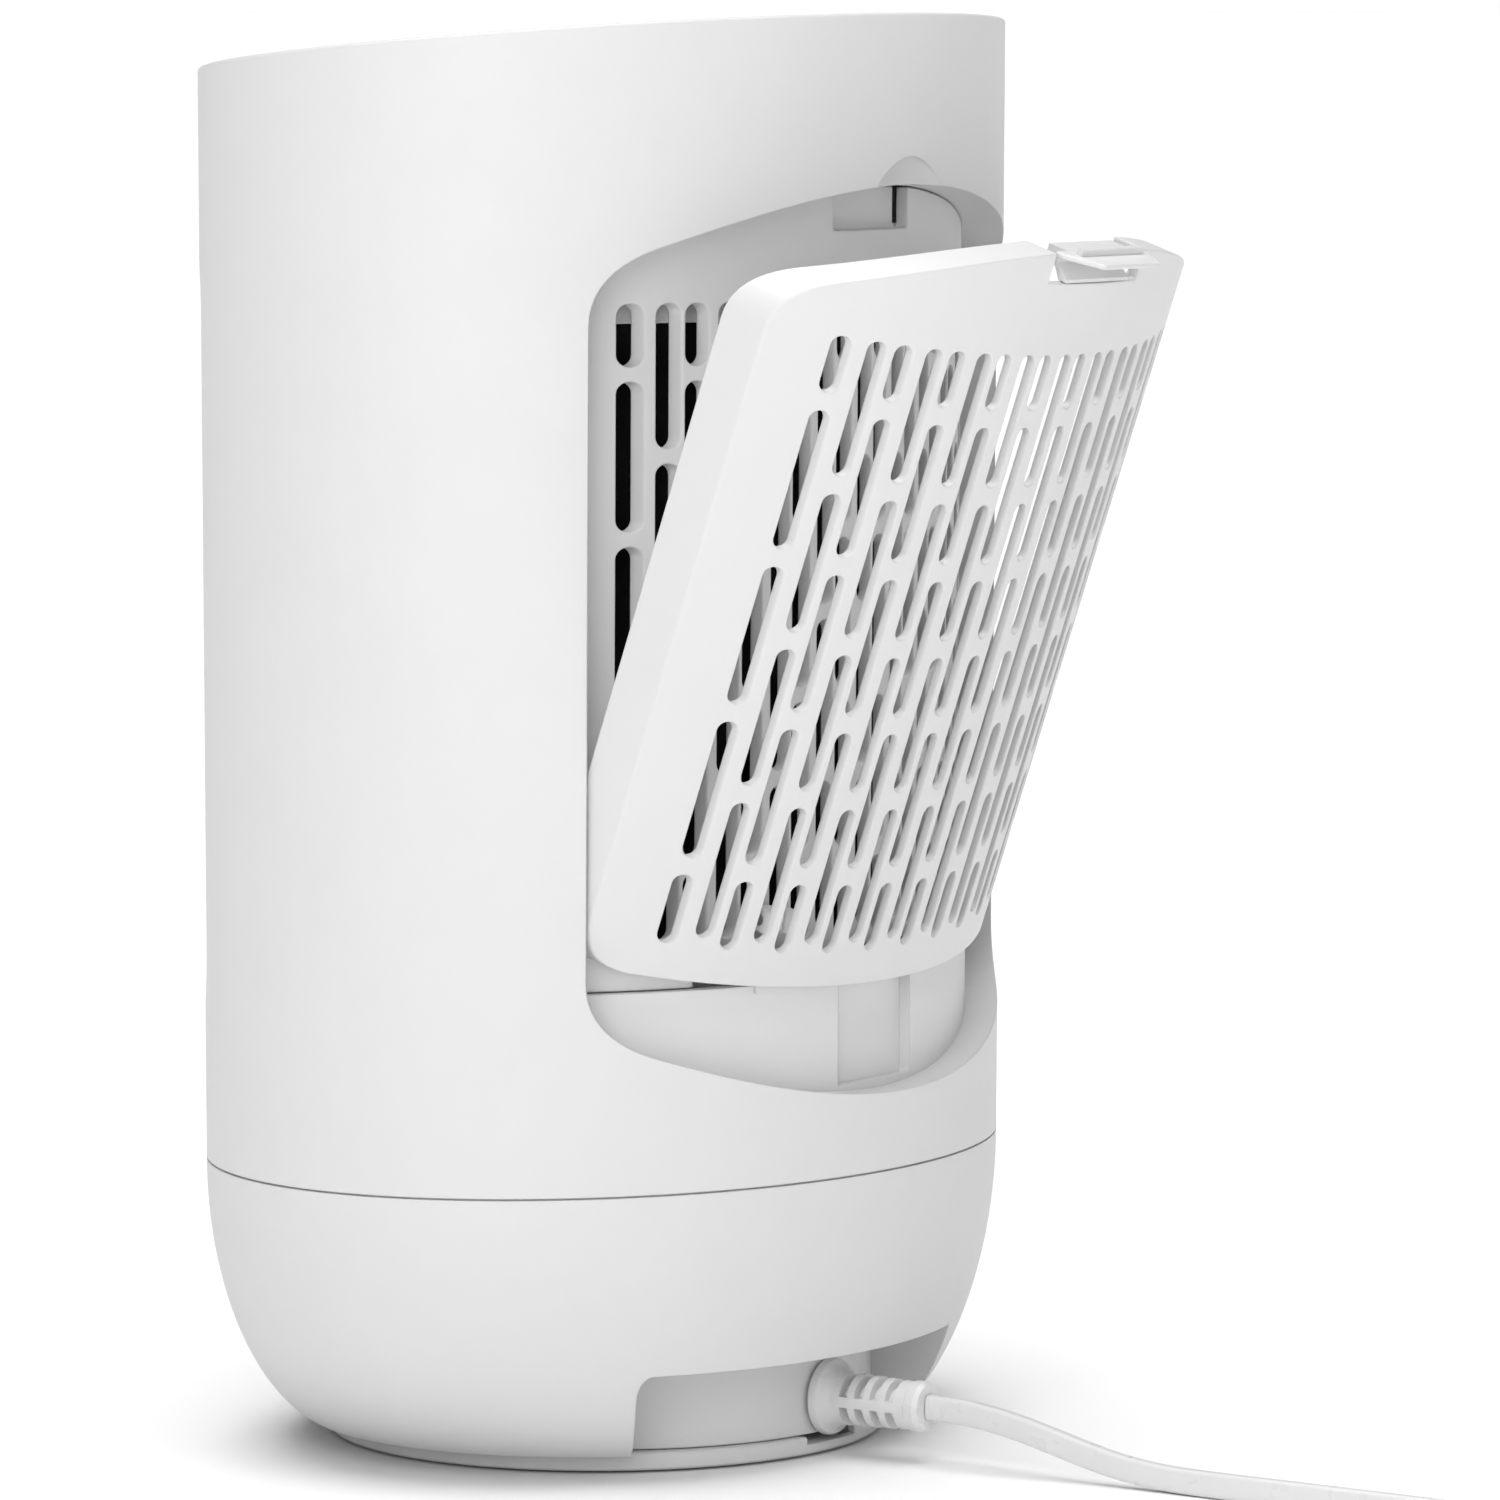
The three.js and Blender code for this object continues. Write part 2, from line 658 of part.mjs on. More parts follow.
// The intake cover in its closed place: a curved skin with a rim round it, cut by the air slots.
function makeIntakeCover(pointed) {
  const block = common(band(0, COVER.rimDepth), pushed(coverOutline(0), Y_IN, Y_OUT));
  const hollow = common(tower(COVER.skin, ...TALL), pushed(coverOutline(COVER.rim), Y_IN, Y_OUT));
  const lowerRim = box(-86, 86, Y_IN, Y_OUT, 100, COVER.bottom + 8);
  const lowerRelief = common(tower(COVER.lowerRimDepth, 100, 200), lowerRim);
  const postRelief = [-1, 1].map((side) => {
    const x = side * HINGE.postX;
    return common(tower(COVER.skin, 100, 200), box(x - 4, x + 4, Y_IN, Y_OUT, 100, HINGE.z));
  });
  return cut(block, hollow, lowerRelief, ...postRelief, slotField(0, pointed));
}

// A fixed shape as the cover meets it when the cover has swung out by an angle.
function metAfterSwing(body, angle) {
  const back = new THREE.Matrix4()
    .makeTranslation(0, HINGE.y, HINGE.z)
    .multiply(new THREE.Matrix4().makeRotationX(angle))
    .multiply(new THREE.Matrix4().makeTranslation(0, -HINGE.y, -HINGE.z));
  return moved(body, back);
}

// What stays clear of the plate and the sill when the cover stands open.
function openClearance() {
  const plate = cut(
    tower(PLATE.depth - 0.6, 100, 220),
    box(-PLATE.cutHalfWidth + 1, PLATE.cutHalfWidth - 1, Y_IN, Y_OUT, 90, PLATE.cutTop - 1),
  );
  const sill = tower(SILL.depth - 0.5, 90, SILL.top + 0.5);
  return metAfterSwing(join(plate, sill), open);
}

function hingeLugs(side) {
  const skinY = HINGE.y + HINGE.knuckleRadius + 6;
  const lug = polygon([
    [HINGE.y - 1.5, HINGE.z - HINGE.knuckleRadius + 0.5],
    [HINGE.y + 1, HINGE.z - HINGE.knuckleRadius],
    [skinY, HINGE.z - HINGE.knuckleRadius],
    [skinY, HINGE.z + HINGE.knuckleRadius],
    [HINGE.y + 1, HINGE.z + HINGE.knuckleRadius],
    [HINGE.y - 1.5, HINGE.z + HINGE.knuckleRadius - 0.5],
    [HINGE.y - HINGE.knuckleRadius, HINGE.z],
  ]);
  const offset = HINGE.postWidth / 2 + HINGE.sidePlay;
  const inner = HINGE.postX - offset - HINGE.lugWidth;
  const outer = HINGE.postX + offset;
  return [inner, outer].map((x) => {
    const x0 = side > 0 ? x : -x - HINGE.lugWidth;
    return common(drawnAcross(lug, x0, x0 + HINGE.lugWidth), tower(COVER.skin - 0.8, 140, 156));
  });
}

function makeRearCover() {
  const lugs = [...hingeLugs(-1), ...hingeLugs(1)];
  const half = LATCH.cutHalfWidth;
  const tongueGap = box(-half, half, 60, Y_OUT, LATCH.rootHeight, PLATE.top);
  const bore = hingeRod(HINGE.pinRadius + RUNNING_FIT, -60, 60);
  const swung = COVER.clearAngles.map((angle) =>
    metAfterSwing(throughOpening(-GAP), THREE.MathUtils.degToRad(angle)),
  );
  const skin = common(cut(makeIntakeCover(true), tongueGap, openClearance()), ...swung);
  return cut(join(skin, ...lugs), bore);
}
addPiece("rear_cover", makeRearCover(), "cover", coverGroup);

for (const side of [-1, 1]) {
  const reach = HINGE.postWidth / 2 + HINGE.lugWidth;
  const x = side * HINGE.postX;
  const name = side < 0 ? "hinge_pin_left" : "hinge_pin_right";
  addPiece(name, hingeRod(HINGE.pinRadius, x - reach, x + reach), "steel");
}

// The latch: a flexing tongue at the top of the cover, with a finger tab and a catch behind it.
function makeLatch() {
  const face = BODY.halfDepth + growth(OPENING.high);
  const top = OPENING.high - COVER.gap - LATCH.drop;
  const root = LATCH.rootHeight;
  const cove = [
    [face - 0.2, root + GAP],
    [face - 0.3, root + 1.2],
    [face - 2.2, root + 2.4],
    [face - 4, root + 4],
    [face - 4.4, root + 5.6],
    [face - 3.4, top - 2.4],
    [face - 1, top - 1.7],
  ];
  const lip = [
    [face + 2, top - LATCH.tabThickness],
    [face + 2, top],
    [face + 2, top + 1.7],
    [face + 0.7, top + 1.9],
    [face + 0.2, top],
  ];
  const back = [
    [face - 8.4, top],
    [face - 8.4, top - 2.2],
    [face - 6.6, top - 3.4],
    [face - 6.2, root + 5],
    [face - 4, root + 2.2],
    [face - 2.8, root + GAP],
  ];
  const tab = polygon([
    [-LATCH.tabHalfWidth, face - 3],
    [LATCH.tabHalfWidth, face - 3],
    [LATCH.tabHalfWidth, face - 0.5],
    [LATCH.tipHalfWidth, face + LATCH.tabReach],
    [-LATCH.tipHalfWidth, face + LATCH.tabReach],
    [-LATCH.tabHalfWidth, face - 0.5],
  ]);
  return join(
    drawnAcross(polygon([...cove, ...lip, ...back]), -LATCH.halfWidth + 1, LATCH.halfWidth - 1),
    raised(tab, top - LATCH.tabThickness, top),
  );
}
addPiece("cover_latch", makeLatch(), "cover", coverGroup);

addPiece("front_cover", mirrorToFront(makeIntakeCover(false)), "cover");

// ---------------------------------------------------------------- fan
function makeFanDuct() {
  const deck = tower(BODY.wall + GAP, FAN.deckHeight, FAN.deckHeight + FAN.deckThickness);
  const tube = disc(FAN.ductRadius + FAN.ductWall, FAN.ductLow, FAN.ductHigh, 32);
  return cut(join(deck, tube), disc(FAN.ductRadius, FAN.ductLow - 1, FAN.ductHigh + 1, 32));
}
addPiece("fan_duct", makeFanDuct(), "grey");

function makeMotorMount() {
  const high = FAN.ductLow - GAP;
  const low = high - MOTOR.mountHeight;
  const half = MOTOR.armHalfWidth;
  const arms = [0, 1, 2].map((i) =>
    moved(
      box(MOTOR.radius + 1, FAN.ductRadius + FAN.ductWall, -half, half, low, high),
      new THREE.Matrix4().makeRotationZ((i * 2 * Math.PI) / 3),
    ),
  );
  const collar = disc(MOTOR.radius + MOTOR.mountWall, low, high);
  return cut(join(collar, ...arms), disc(MOTOR.radius + GAP, low - 1, high + 1));
}
addPiece("motor_mount", makeMotorMount(), "grey");

const shaftHole = (low, high) => disc(MOTOR.shaftRadius + GAP, low, high, 12);
const motorCan = disc(MOTOR.radius, MOTOR.high - MOTOR.height, MOTOR.high);
const motorBore = shaftHole(MOTOR.high - MOTOR.shaftSeat - 1, MOTOR.high + 1);
addPiece("fan_motor", cut(motorCan, motorBore), "steel");

function makeImpeller() {
  const hub = disc(FAN.hubRadius, FAN.hubLow, FAN.hubHigh, 28);
  const middle = (FAN.hubLow + FAN.hubHigh) / 2;
  const length = FAN.bladeTip - FAN.hubRadius + 2;
  const blades = Array.from({ length: FAN.bladeCount }, (_, i) =>
    solid(
      new THREE.BoxGeometry(length, FAN.bladeChord, FAN.bladeThickness)
        .rotateX(FAN.bladePitch)
        .translate(FAN.bladeTip - length / 2, 0, middle)
        .rotateZ((i * 2 * Math.PI) / FAN.bladeCount),
    ),
  );
  return cut(join(hub, ...blades), shaftHole(FAN.hubLow - 1, FAN.hubHigh + 1));
}
addPiece("impeller", makeImpeller(), "dark");
const shaftLow = MOTOR.high - MOTOR.shaftSeat;
addPiece("motor_shaft", disc(MOTOR.shaftRadius, shaftLow, FAN.hubHigh + MOTOR.shaftProud, 12), "steel");
const nut = disc(MOTOR.nutRadius, FAN.hubHigh + GAP, FAN.hubHigh + MOTOR.nutHeight, 6);
addPiece("impeller_nut", cut(nut, shaftHole(FAN.hubHigh, FAN.hubHigh + 5)), "brass");

// ---------------------------------------------------------------- top: outlet grille and controls
const topLow = BODY.rimHeight - TOP.recess - TOP.thickness;
const topHigh = BODY.rimHeight - TOP.recess;
const topPlate = () => tower(BODY.wall + TOP.sideGap, topLow, topHigh);
const throughTop = (x0, x1, y0, y1) => box(x0, x1, y0, y1, topLow - 1, topHigh + 1);

function makeTopGrille() {
  const slots = [];
  const a = BODY.halfWidth - TOP.margin;
  const b = BODY.halfDepth - TOP.margin;
  for (let y = TOP.splitY + TOP.firstLouvre; y < b - 4; y += TOP.louvrePitch) {
    const reach = a * Math.sqrt(1 - (y / b) ** 2);
    const half = TOP.louvreGap / 2;
    if (reach > TOP.shortestLouvre)
      slots.push(
        polygon([
          [-reach, y],
          [-reach + half, y - half],
          [reach - half, y - half],
          [reach, y],
          [reach - half, y + half],
          [-reach + half, y + half],
        ]),
      );
  }
  const louvres = raised(slots, topLow - 1, topHigh + 1);
  const opened = cut(topPlate(), louvres, throughTop(-FAR, FAR, -Y_OUT, TOP.splitY));
  const rib = box(-TOP.ribHalfWidth, TOP.ribHalfWidth, TOP.splitY + 4, b, topLow, topHigh - 0.8);
  return toRimSlope(join(opened, rib));
}
addPiece("top_grille", makeTopGrille(), "cover");

const buttonXs = [-1.5, -0.5, 0.5, 1.5].map((step) => step * BUTTON.pitch);
const keyDisc = (x, radius, low, high) => discAt(x, BUTTON.y, radius, low, high, 16);

function makeControlPanel() {
  const plate = cut(topPlate(), throughTop(-FAR, FAR, TOP.splitY - TOP.splitGap, Y_OUT));
  const holes = buttonXs.map((x) => keyDisc(x, BUTTON.radius + GAP, topLow - 1, topHigh + 1));
  const halfWidth = LENS.halfWidth + GAP;
  const halfDepth = LENS.halfDepth + GAP;
  const window = throughTop(-halfWidth, halfWidth, LENS.y - halfDepth, LENS.y + halfDepth);
  const pillars = [-1, 1].map((side) =>
    discAt(side * BOARD.pillarX, BOARD.pillarY, BOARD.pillarRadius, BOARD.high + GAP, topLow + 1, 10),
  );
  return toRimSlope(join(cut(plate, window, ...holes), ...pillars));
}
addPiece("control_panel", makeControlPanel(), "gloss");
["power_button", "speed_button", "timer_button", "night_button"].forEach((name, i) => {
  const high = topHigh + BUTTON.proud;
  const low = high - BUTTON.height;
  const button = join(
    keyDisc(buttonXs[i], BUTTON.radius, low, high),
    keyDisc(buttonXs[i], BUTTON.radius + BUTTON.flange, low, topLow - GAP),
  );
  addPiece(name, toRimSlope(button), "cover");
});
const lensFront = LENS.y - LENS.halfDepth;
const lensRear = LENS.y + LENS.halfDepth;
const lens = box(-LENS.halfWidth, LENS.halfWidth, lensFront, lensRear, topLow, topHigh);
addPiece("display_lens", toRimSlope(lens), "lens");

function makeControlBoard() {
  const { high, halfWidth, switchHalf: half } = BOARD;
  const board = box(-halfWidth, halfWidth, BOARD.y0, BOARD.y1, high - BOARD.thickness, high);
  const switches = buttonXs.map((x) =>
    box(x - half, x + half, BUTTON.y - half, BUTTON.y + half, high - 0.5, high + BOARD.switchHeight),
  );
  return toRimSlope(join(board, ...switches));
}
addPiece("control_board", makeControlBoard(), "board");

// ---------------------------------------------------------------- mains side: board, lead, cord, plug
function makePowerBoard() {
  const low = POWER.height;
  const { halfWidth, halfDepth, thickness } = POWER;
  const board = box(-halfWidth, halfWidth, -halfDepth, halfDepth, low, low + thickness);
  const transformer = box(-34, -6, -20, 8, low + 1, low + 24);
  const capacitor = discAt(14, -12, 7, low + 1, low + 20, 16);
  const driver = box(8, 32, 6, 18, low + 1, low + 9);
  return join(board, transformer, capacitor, driver);
}
addPiece("power_board", makePowerBoard(), "board");

// A flexible piece along a path, drawn as an eight-sided tube.
function tube(points, halfWidth, halfHeight, steps) {
  const path = new THREE.CatmullRomCurve3(points.map(([x, y, z]) => new THREE.Vector3(x, y, z)));
  const section = Array.from({ length: 8 }, (_, i) => {
    const angle = ((i + 0.5) * Math.PI) / 4;
    return [halfWidth * Math.cos(angle), halfHeight * Math.sin(angle)];
  });
  const settings = { steps, bevelEnabled: false, extrudePath: path };
  return solid(new THREE.ExtrudeGeometry(polygon(section), settings));
}
addPiece("motor_lead", tube(MOTOR_LEAD, 2, 2, 30), "dark");

function makeStrainRelief() {
  const { bodyRadius, flangeRadius, endRadius, endY, ribHalfHeight } = RELIEF;
  const start = RELIEF.wallRadius - RELIEF.inside;
  const flange = RELIEF.wallRadius + GAP + RUNNING_FIT;
  const flangeEnd = flange + RELIEF.flangeThickness;
  const outline = [
    [0, start],
    [bodyRadius - 1, start],
    [bodyRadius, start + 1],
    [bodyRadius, flange],
    [flangeRadius, flange],
    [flangeRadius, flangeEnd - 1],
    [flangeRadius - 1.2, flangeEnd],
    [bodyRadius + 0.8, flangeEnd + 0.6],
    [bodyRadius + 0.2, flange + 5],
    [endRadius, endY - 1.5],
    [endRadius - 1.5, endY],
    [0, endY],
  ].map(([r, y]) => new THREE.Vector2(r, y));
  const along = solid(new THREE.LatheGeometry(outline, 16).translate(0, 0, CORD.exitHeight));
  const windows = Array.from({ length: RELIEF.slits }, (_, i) => {
    const y = RELIEF.firstSlit + i * RELIEF.slitPitch;
    const core = discAlongY(CORD.width / 2 + 0.6, y - 1, y + 4, 12);
    const rib = box(-12, 12, y - 1, y + 5, CORD.exitHeight - ribHalfHeight, CORD.exitHeight + ribHalfHeight);
    return cut(discAlongY(bodyRadius + 2.4, y, y + RELIEF.slitWidth, 12), core, rib);
  });
  return cut(along, ...windows);
}
addPiece("strain_relief", makeStrainRelief(), "gloss");
addPiece("power_cord", tube(CORD_ROUTE, CORD.width / 2, CORD.height / 2, 30), "gloss");

// A ring as wide as the coil, grown by a margin, between two heights.
function coilRing(grow, low, high) {
  const inner = COIL.inner - grow;
  const outer = COIL.outer + grow;
  const profile = [[inner, low], [outer, low], [outer, high], [inner, high], [inner, low]];
  const lathe = new THREE.LatheGeometry(profile.map(([r, z]) => new THREE.Vector2(r, z)), 36);
  return solid(lathe.rotateX(Math.PI / 2).translate(COIL.x, COIL.y, 0));
}
addPiece("cord_coil", coilRing(0, 0.1, COIL.height), "gloss");

function makeTie() {
  const outside = coilRing(TIE.play + TIE.thickness, 0, COIL.height + TIE.play + TIE.thickness);
  const inside = coilRing(TIE.play, -1, COIL.height + TIE.play);
  const stretch = box(COIL.x - TIE.halfWidth, COIL.x + TIE.halfWidth, COIL.y, COIL.y + 80, 0, 40);
  return common(cut(outside, inside), stretch);
}
addPiece("cord_tie", makeTie(), "dark");

function makePlug() {
  const { x, y, z } = PLUG;
  const end = y - PLUG.length;
  const side = polygon([
    [y, z - 4.4],
    [y, z + 4.4],
    [y - 12, z + 6],
    [y - 16, z + 8.5],
    [end, z + 8.5],
    [end, z - 8.5],
    [y - 16, z - 8.5],
    [y - 12, z - 6],
  ]);
  const plan = polygon([
    [x - 4.6, y + 1],
    [x - 6.5, y - 12],
    [x - 12, y - 17],
    [x - 13, end - 1],
    [x + 13, end - 1],
    [x + 12, y - 17],
    [x + 6.5, y - 12],
    [x + 4.6, y + 1],
  ]);
  return common(drawnAcross(side, x - 20, x + 20), raised(plan, 0, 30));
}
addPiece("plug_body", makePlug(), "gloss");
[-1, 1].forEach((side, i) => {
  const { z, bladeHalfThickness: half, bladeHalfWidth, bladeLength } = PLUG;
  const x = PLUG.x + side * PLUG.bladeSpread;
  const root = PLUG.y - PLUG.length - GAP;
  const blade = box(x - half, x + half, root - bladeLength, root, z - bladeHalfWidth, z + bladeHalfWidth);
  addPiece(`plug_blade_${i + 1}`, blade, "brass");
});

export default part;
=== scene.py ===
"""An oval tower air purifier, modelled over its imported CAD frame, in metres."""
import json
import logging
import math
from collections.abc import Callable, Iterable, Sequence
from dataclasses import dataclass, field
from enum import Enum

import bpy
from bpy.types import Material, Object
from mathutils import Matrix, Vector


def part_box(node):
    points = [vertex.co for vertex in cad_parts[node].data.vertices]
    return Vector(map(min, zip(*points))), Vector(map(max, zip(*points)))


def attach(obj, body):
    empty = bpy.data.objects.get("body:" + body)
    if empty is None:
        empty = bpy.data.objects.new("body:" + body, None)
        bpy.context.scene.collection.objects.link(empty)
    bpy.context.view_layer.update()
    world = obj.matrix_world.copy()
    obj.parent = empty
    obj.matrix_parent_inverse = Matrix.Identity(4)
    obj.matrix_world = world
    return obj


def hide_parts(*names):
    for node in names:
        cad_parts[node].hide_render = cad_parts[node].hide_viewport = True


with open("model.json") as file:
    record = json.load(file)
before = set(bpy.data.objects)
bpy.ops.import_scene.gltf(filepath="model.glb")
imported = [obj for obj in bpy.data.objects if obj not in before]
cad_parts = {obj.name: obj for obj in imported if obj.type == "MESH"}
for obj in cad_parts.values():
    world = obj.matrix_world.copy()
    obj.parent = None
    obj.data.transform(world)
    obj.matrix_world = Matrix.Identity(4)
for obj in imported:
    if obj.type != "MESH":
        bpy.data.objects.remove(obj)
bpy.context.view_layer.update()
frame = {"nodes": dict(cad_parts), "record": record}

LOG = logging.getLogger("purifier")
OVAL_STEPS = 240
Point2 = tuple[float, float]
Ring = tuple[float, float, float]
LAID_BACK = Matrix(((1, 0, 0, 0), (0, 0, 1, 0), (0, -1, 0, 0), (0, 0, 0, 1)))  # turns +Z to +Y
CORD_EXIT = (0, 0.104, 0.015)
KEYS = ("power", "speed", "timer", "night")


class Axis(Enum):
    """The axis along which a flat outline is drawn out."""

    X = 0
    Y = 1
    Z = 2


class Side(Enum):
    """A side of the body, by the turn about Z that brings a rear piece there."""

    REAR = 0.0
    FRONT = math.pi


# ---------------------------------------------------------------- finishes
@dataclass(frozen=True)
class Finish:
    """A finish that a procedural material is made of."""

    name: str
    color: tuple[float, float, float]
    roughness: float
    metallic: float = 0.0
    specular: float = 0.5
    coat: float = 0.0
    grain: float = 0.0
    grain_scale: float = 2600.0
    mottle: float = 0.0
    edge: float = 0.0
    brushed: bool = False

    def material(self) -> Material:
        """Builds the node material of this finish.

        Returns:
            The material, made once and shared by all pieces of the finish.
        """
        made = bpy.data.materials.get(self.name)
        if made:
            return made
        made = bpy.data.materials.new(self.name)
        made.use_nodes = True
        tree = made.node_tree
        shader = tree.nodes["Principled BSDF"]
        shader.inputs["Base Color"].default_value = (*self.color, 1)
        shader.inputs["Metallic"].default_value = self.metallic
        shader.inputs["Roughness"].default_value = self.roughness
        shader.inputs["Specular IOR Level"].default_value = self.specular
        shader.inputs["Coat Weight"].default_value = self.coat
        shader.inputs["Coat Roughness"].default_value = 0.15
        place = tree.nodes.new("ShaderNodeTexCoord").outputs["Object"]
        if self.brushed:
            stretch = tree.nodes.new("ShaderNodeMapping")
            stretch.inputs["Scale"].default_value = (1, 1, 30)
            tree.links.new(place, stretch.inputs["Vector"])
            place = stretch.outputs["Vector"]
        if self.mottle:
            self._mottle(tree, shader, place)
        self._relief(tree, shader, place)
        return made

    def _mottle(self, tree: bpy.types.NodeTree, shader: bpy.types.Node, place: bpy.types.NodeSocket) -> None:
        """Lets colour and roughness wander slightly over the surface.

        Args:
            tree: the material's nodes.
            shader: the principled shader.
            place: the coordinates that the pattern reads.
        """
        cloud = self._noise(tree, place, 45.0, 3.0)
        shade = tree.nodes.new("ShaderNodeValToRGB")
        low, high = shade.color_ramp.elements
        low.position, high.position = 0.35, 0.65
        low.color = (*(c * (1 - self.mottle) for c in self.color), 1)
        high.color = (*self.color, 1)
        tree.links.new(cloud, shade.inputs["Fac"])
        tree.links.new(shade.outputs["Color"], shader.inputs["Base Color"])
        spread = tree.nodes.new("ShaderNodeMapRange")
        spread.inputs["To Min"].default_value = self.roughness - 0.04
        spread.inputs["To Max"].default_value = min(1.0, self.roughness + 0.05)
        tree.links.new(self._noise(tree, place, 160.0, 2.0), spread.inputs["Value"])
        tree.links.new(spread.outputs["Result"], shader.inputs["Roughness"])

    def _relief(self, tree: bpy.types.NodeTree, shader: bpy.types.Node, place: bpy.types.NodeSocket) -> None:
        """Adds the surface grain and the softened edges to the shader's normal.

        Args:
            tree: the material's nodes.
            shader: the principled shader.
            place: the coordinates that the pattern reads.
        """
        normal = None
        if self.edge:
            rounded = tree.nodes.new("ShaderNodeBevel")
            rounded.samples = 4
            rounded.inputs["Radius"].default_value = self.edge
            normal = rounded.outputs["Normal"]
        if self.grain:
            bump = tree.nodes.new("ShaderNodeBump")
            bump.inputs["Strength"].default_value = 0.6
            bump.inputs["Distance"].default_value = self.grain
            tree.links.new(self._noise(tree, place, self.grain_scale, 2.0), bump.inputs["Height"])
            if normal:
                tree.links.new(normal, bump.inputs["Normal"])
            normal = bump.outputs["Normal"]
        if normal:
            tree.links.new(normal, shader.inputs["Normal"])

    @staticmethod
    def _noise(
        tree: bpy.types.NodeTree, place: bpy.types.NodeSocket, scale: float, detail: float
    ) -> bpy.types.NodeSocket:
        """Adds a noise pattern.

        Args:
            tree: the material's nodes.
            place: the coordinates that it reads.
            scale: how fine it is.
            detail: how many finer layers it has.

        Returns:
            The pattern's value.
        """
        noise = tree.nodes.new("ShaderNodeTexNoise")
        noise.inputs["Scale"].default_value = scale
        noise.inputs["Detail"].default_value = detail
        tree.links.new(place, noise.inputs["Vector"])
        return noise.outputs["Fac"]


HOUSING = Finish("housing_plastic", (0.672, 0.672, 0.675), 0.5, grain=0.00004, mottle=0.012, edge=0.0006)
COVER = Finish("cover_plastic", (0.675, 0.675, 0.678), 0.4, grain=0.00001, mottle=0.01, edge=0.0004)
GLOSS = Finish("gloss_plastic", (0.7, 0.7, 0.703), 0.24, coat=0.3, mottle=0.01)
SOFT_WHITE = Finish("soft_white_lead", (0.7, 0.7, 0.703), 0.28, grain=0.00001, mottle=0.012)
GREY = Finish("grey_plastic", (0.58, 0.58, 0.585), 0.5, grain=0.00002, mottle=0.02)
DARK = Finish("dark_plastic", (0.02, 0.02, 0.022), 0.5, grain=0.00002, mottle=0.1)
CARBON = Finish(
    "carbon_felt", (0.006, 0.006, 0.007), 0.95, specular=0.1, grain=0.0006, grain_scale=700, mottle=0.5
)
PAPER = Finish(
    "filter_paper", (0.82, 0.81, 0.77), 0.92, specular=0.2, grain=0.0002, grain_scale=1500, mottle=0.05
)
RUBBER = Finish("foot_rubber", (0.03, 0.03, 0.032), 0.85, specular=0.25, grain=0.0001, mottle=0.15)
BOARD = Finish("circuit_board", (0.02, 0.11, 0.055), 0.45, grain=0.00005, grain_scale=900, mottle=0.2)
STEEL = Finish("plated_steel", (0.55, 0.56, 0.58), 0.32, metallic=1, grain=0.00002, mottle=0.06, brushed=True)
BRASS = Finish("plated_brass", (0.72, 0.6, 0.36), 0.28, metallic=1, grain=0.00001, mottle=0.06, brushed=True)
WINDOW = Finish("smoked_window", (0.34, 0.36, 0.38), 0.12, coat=0.6, mottle=0.03)
MARK = Finish("grey_mark", (0.3, 0.3, 0.31), 0.5, mottle=0.05)

CAD_FINISHES: dict[str, Finish] = {
    "housing": HOUSING, "cover": COVER, "gloss": GLOSS, "grey": GREY, "dark": DARK, "carbon": CARBON,
    "filter": PAPER, "rubber": RUBBER, "board": BOARD, "steel": STEEL, "brass": BRASS, "lens": WINDOW,
}


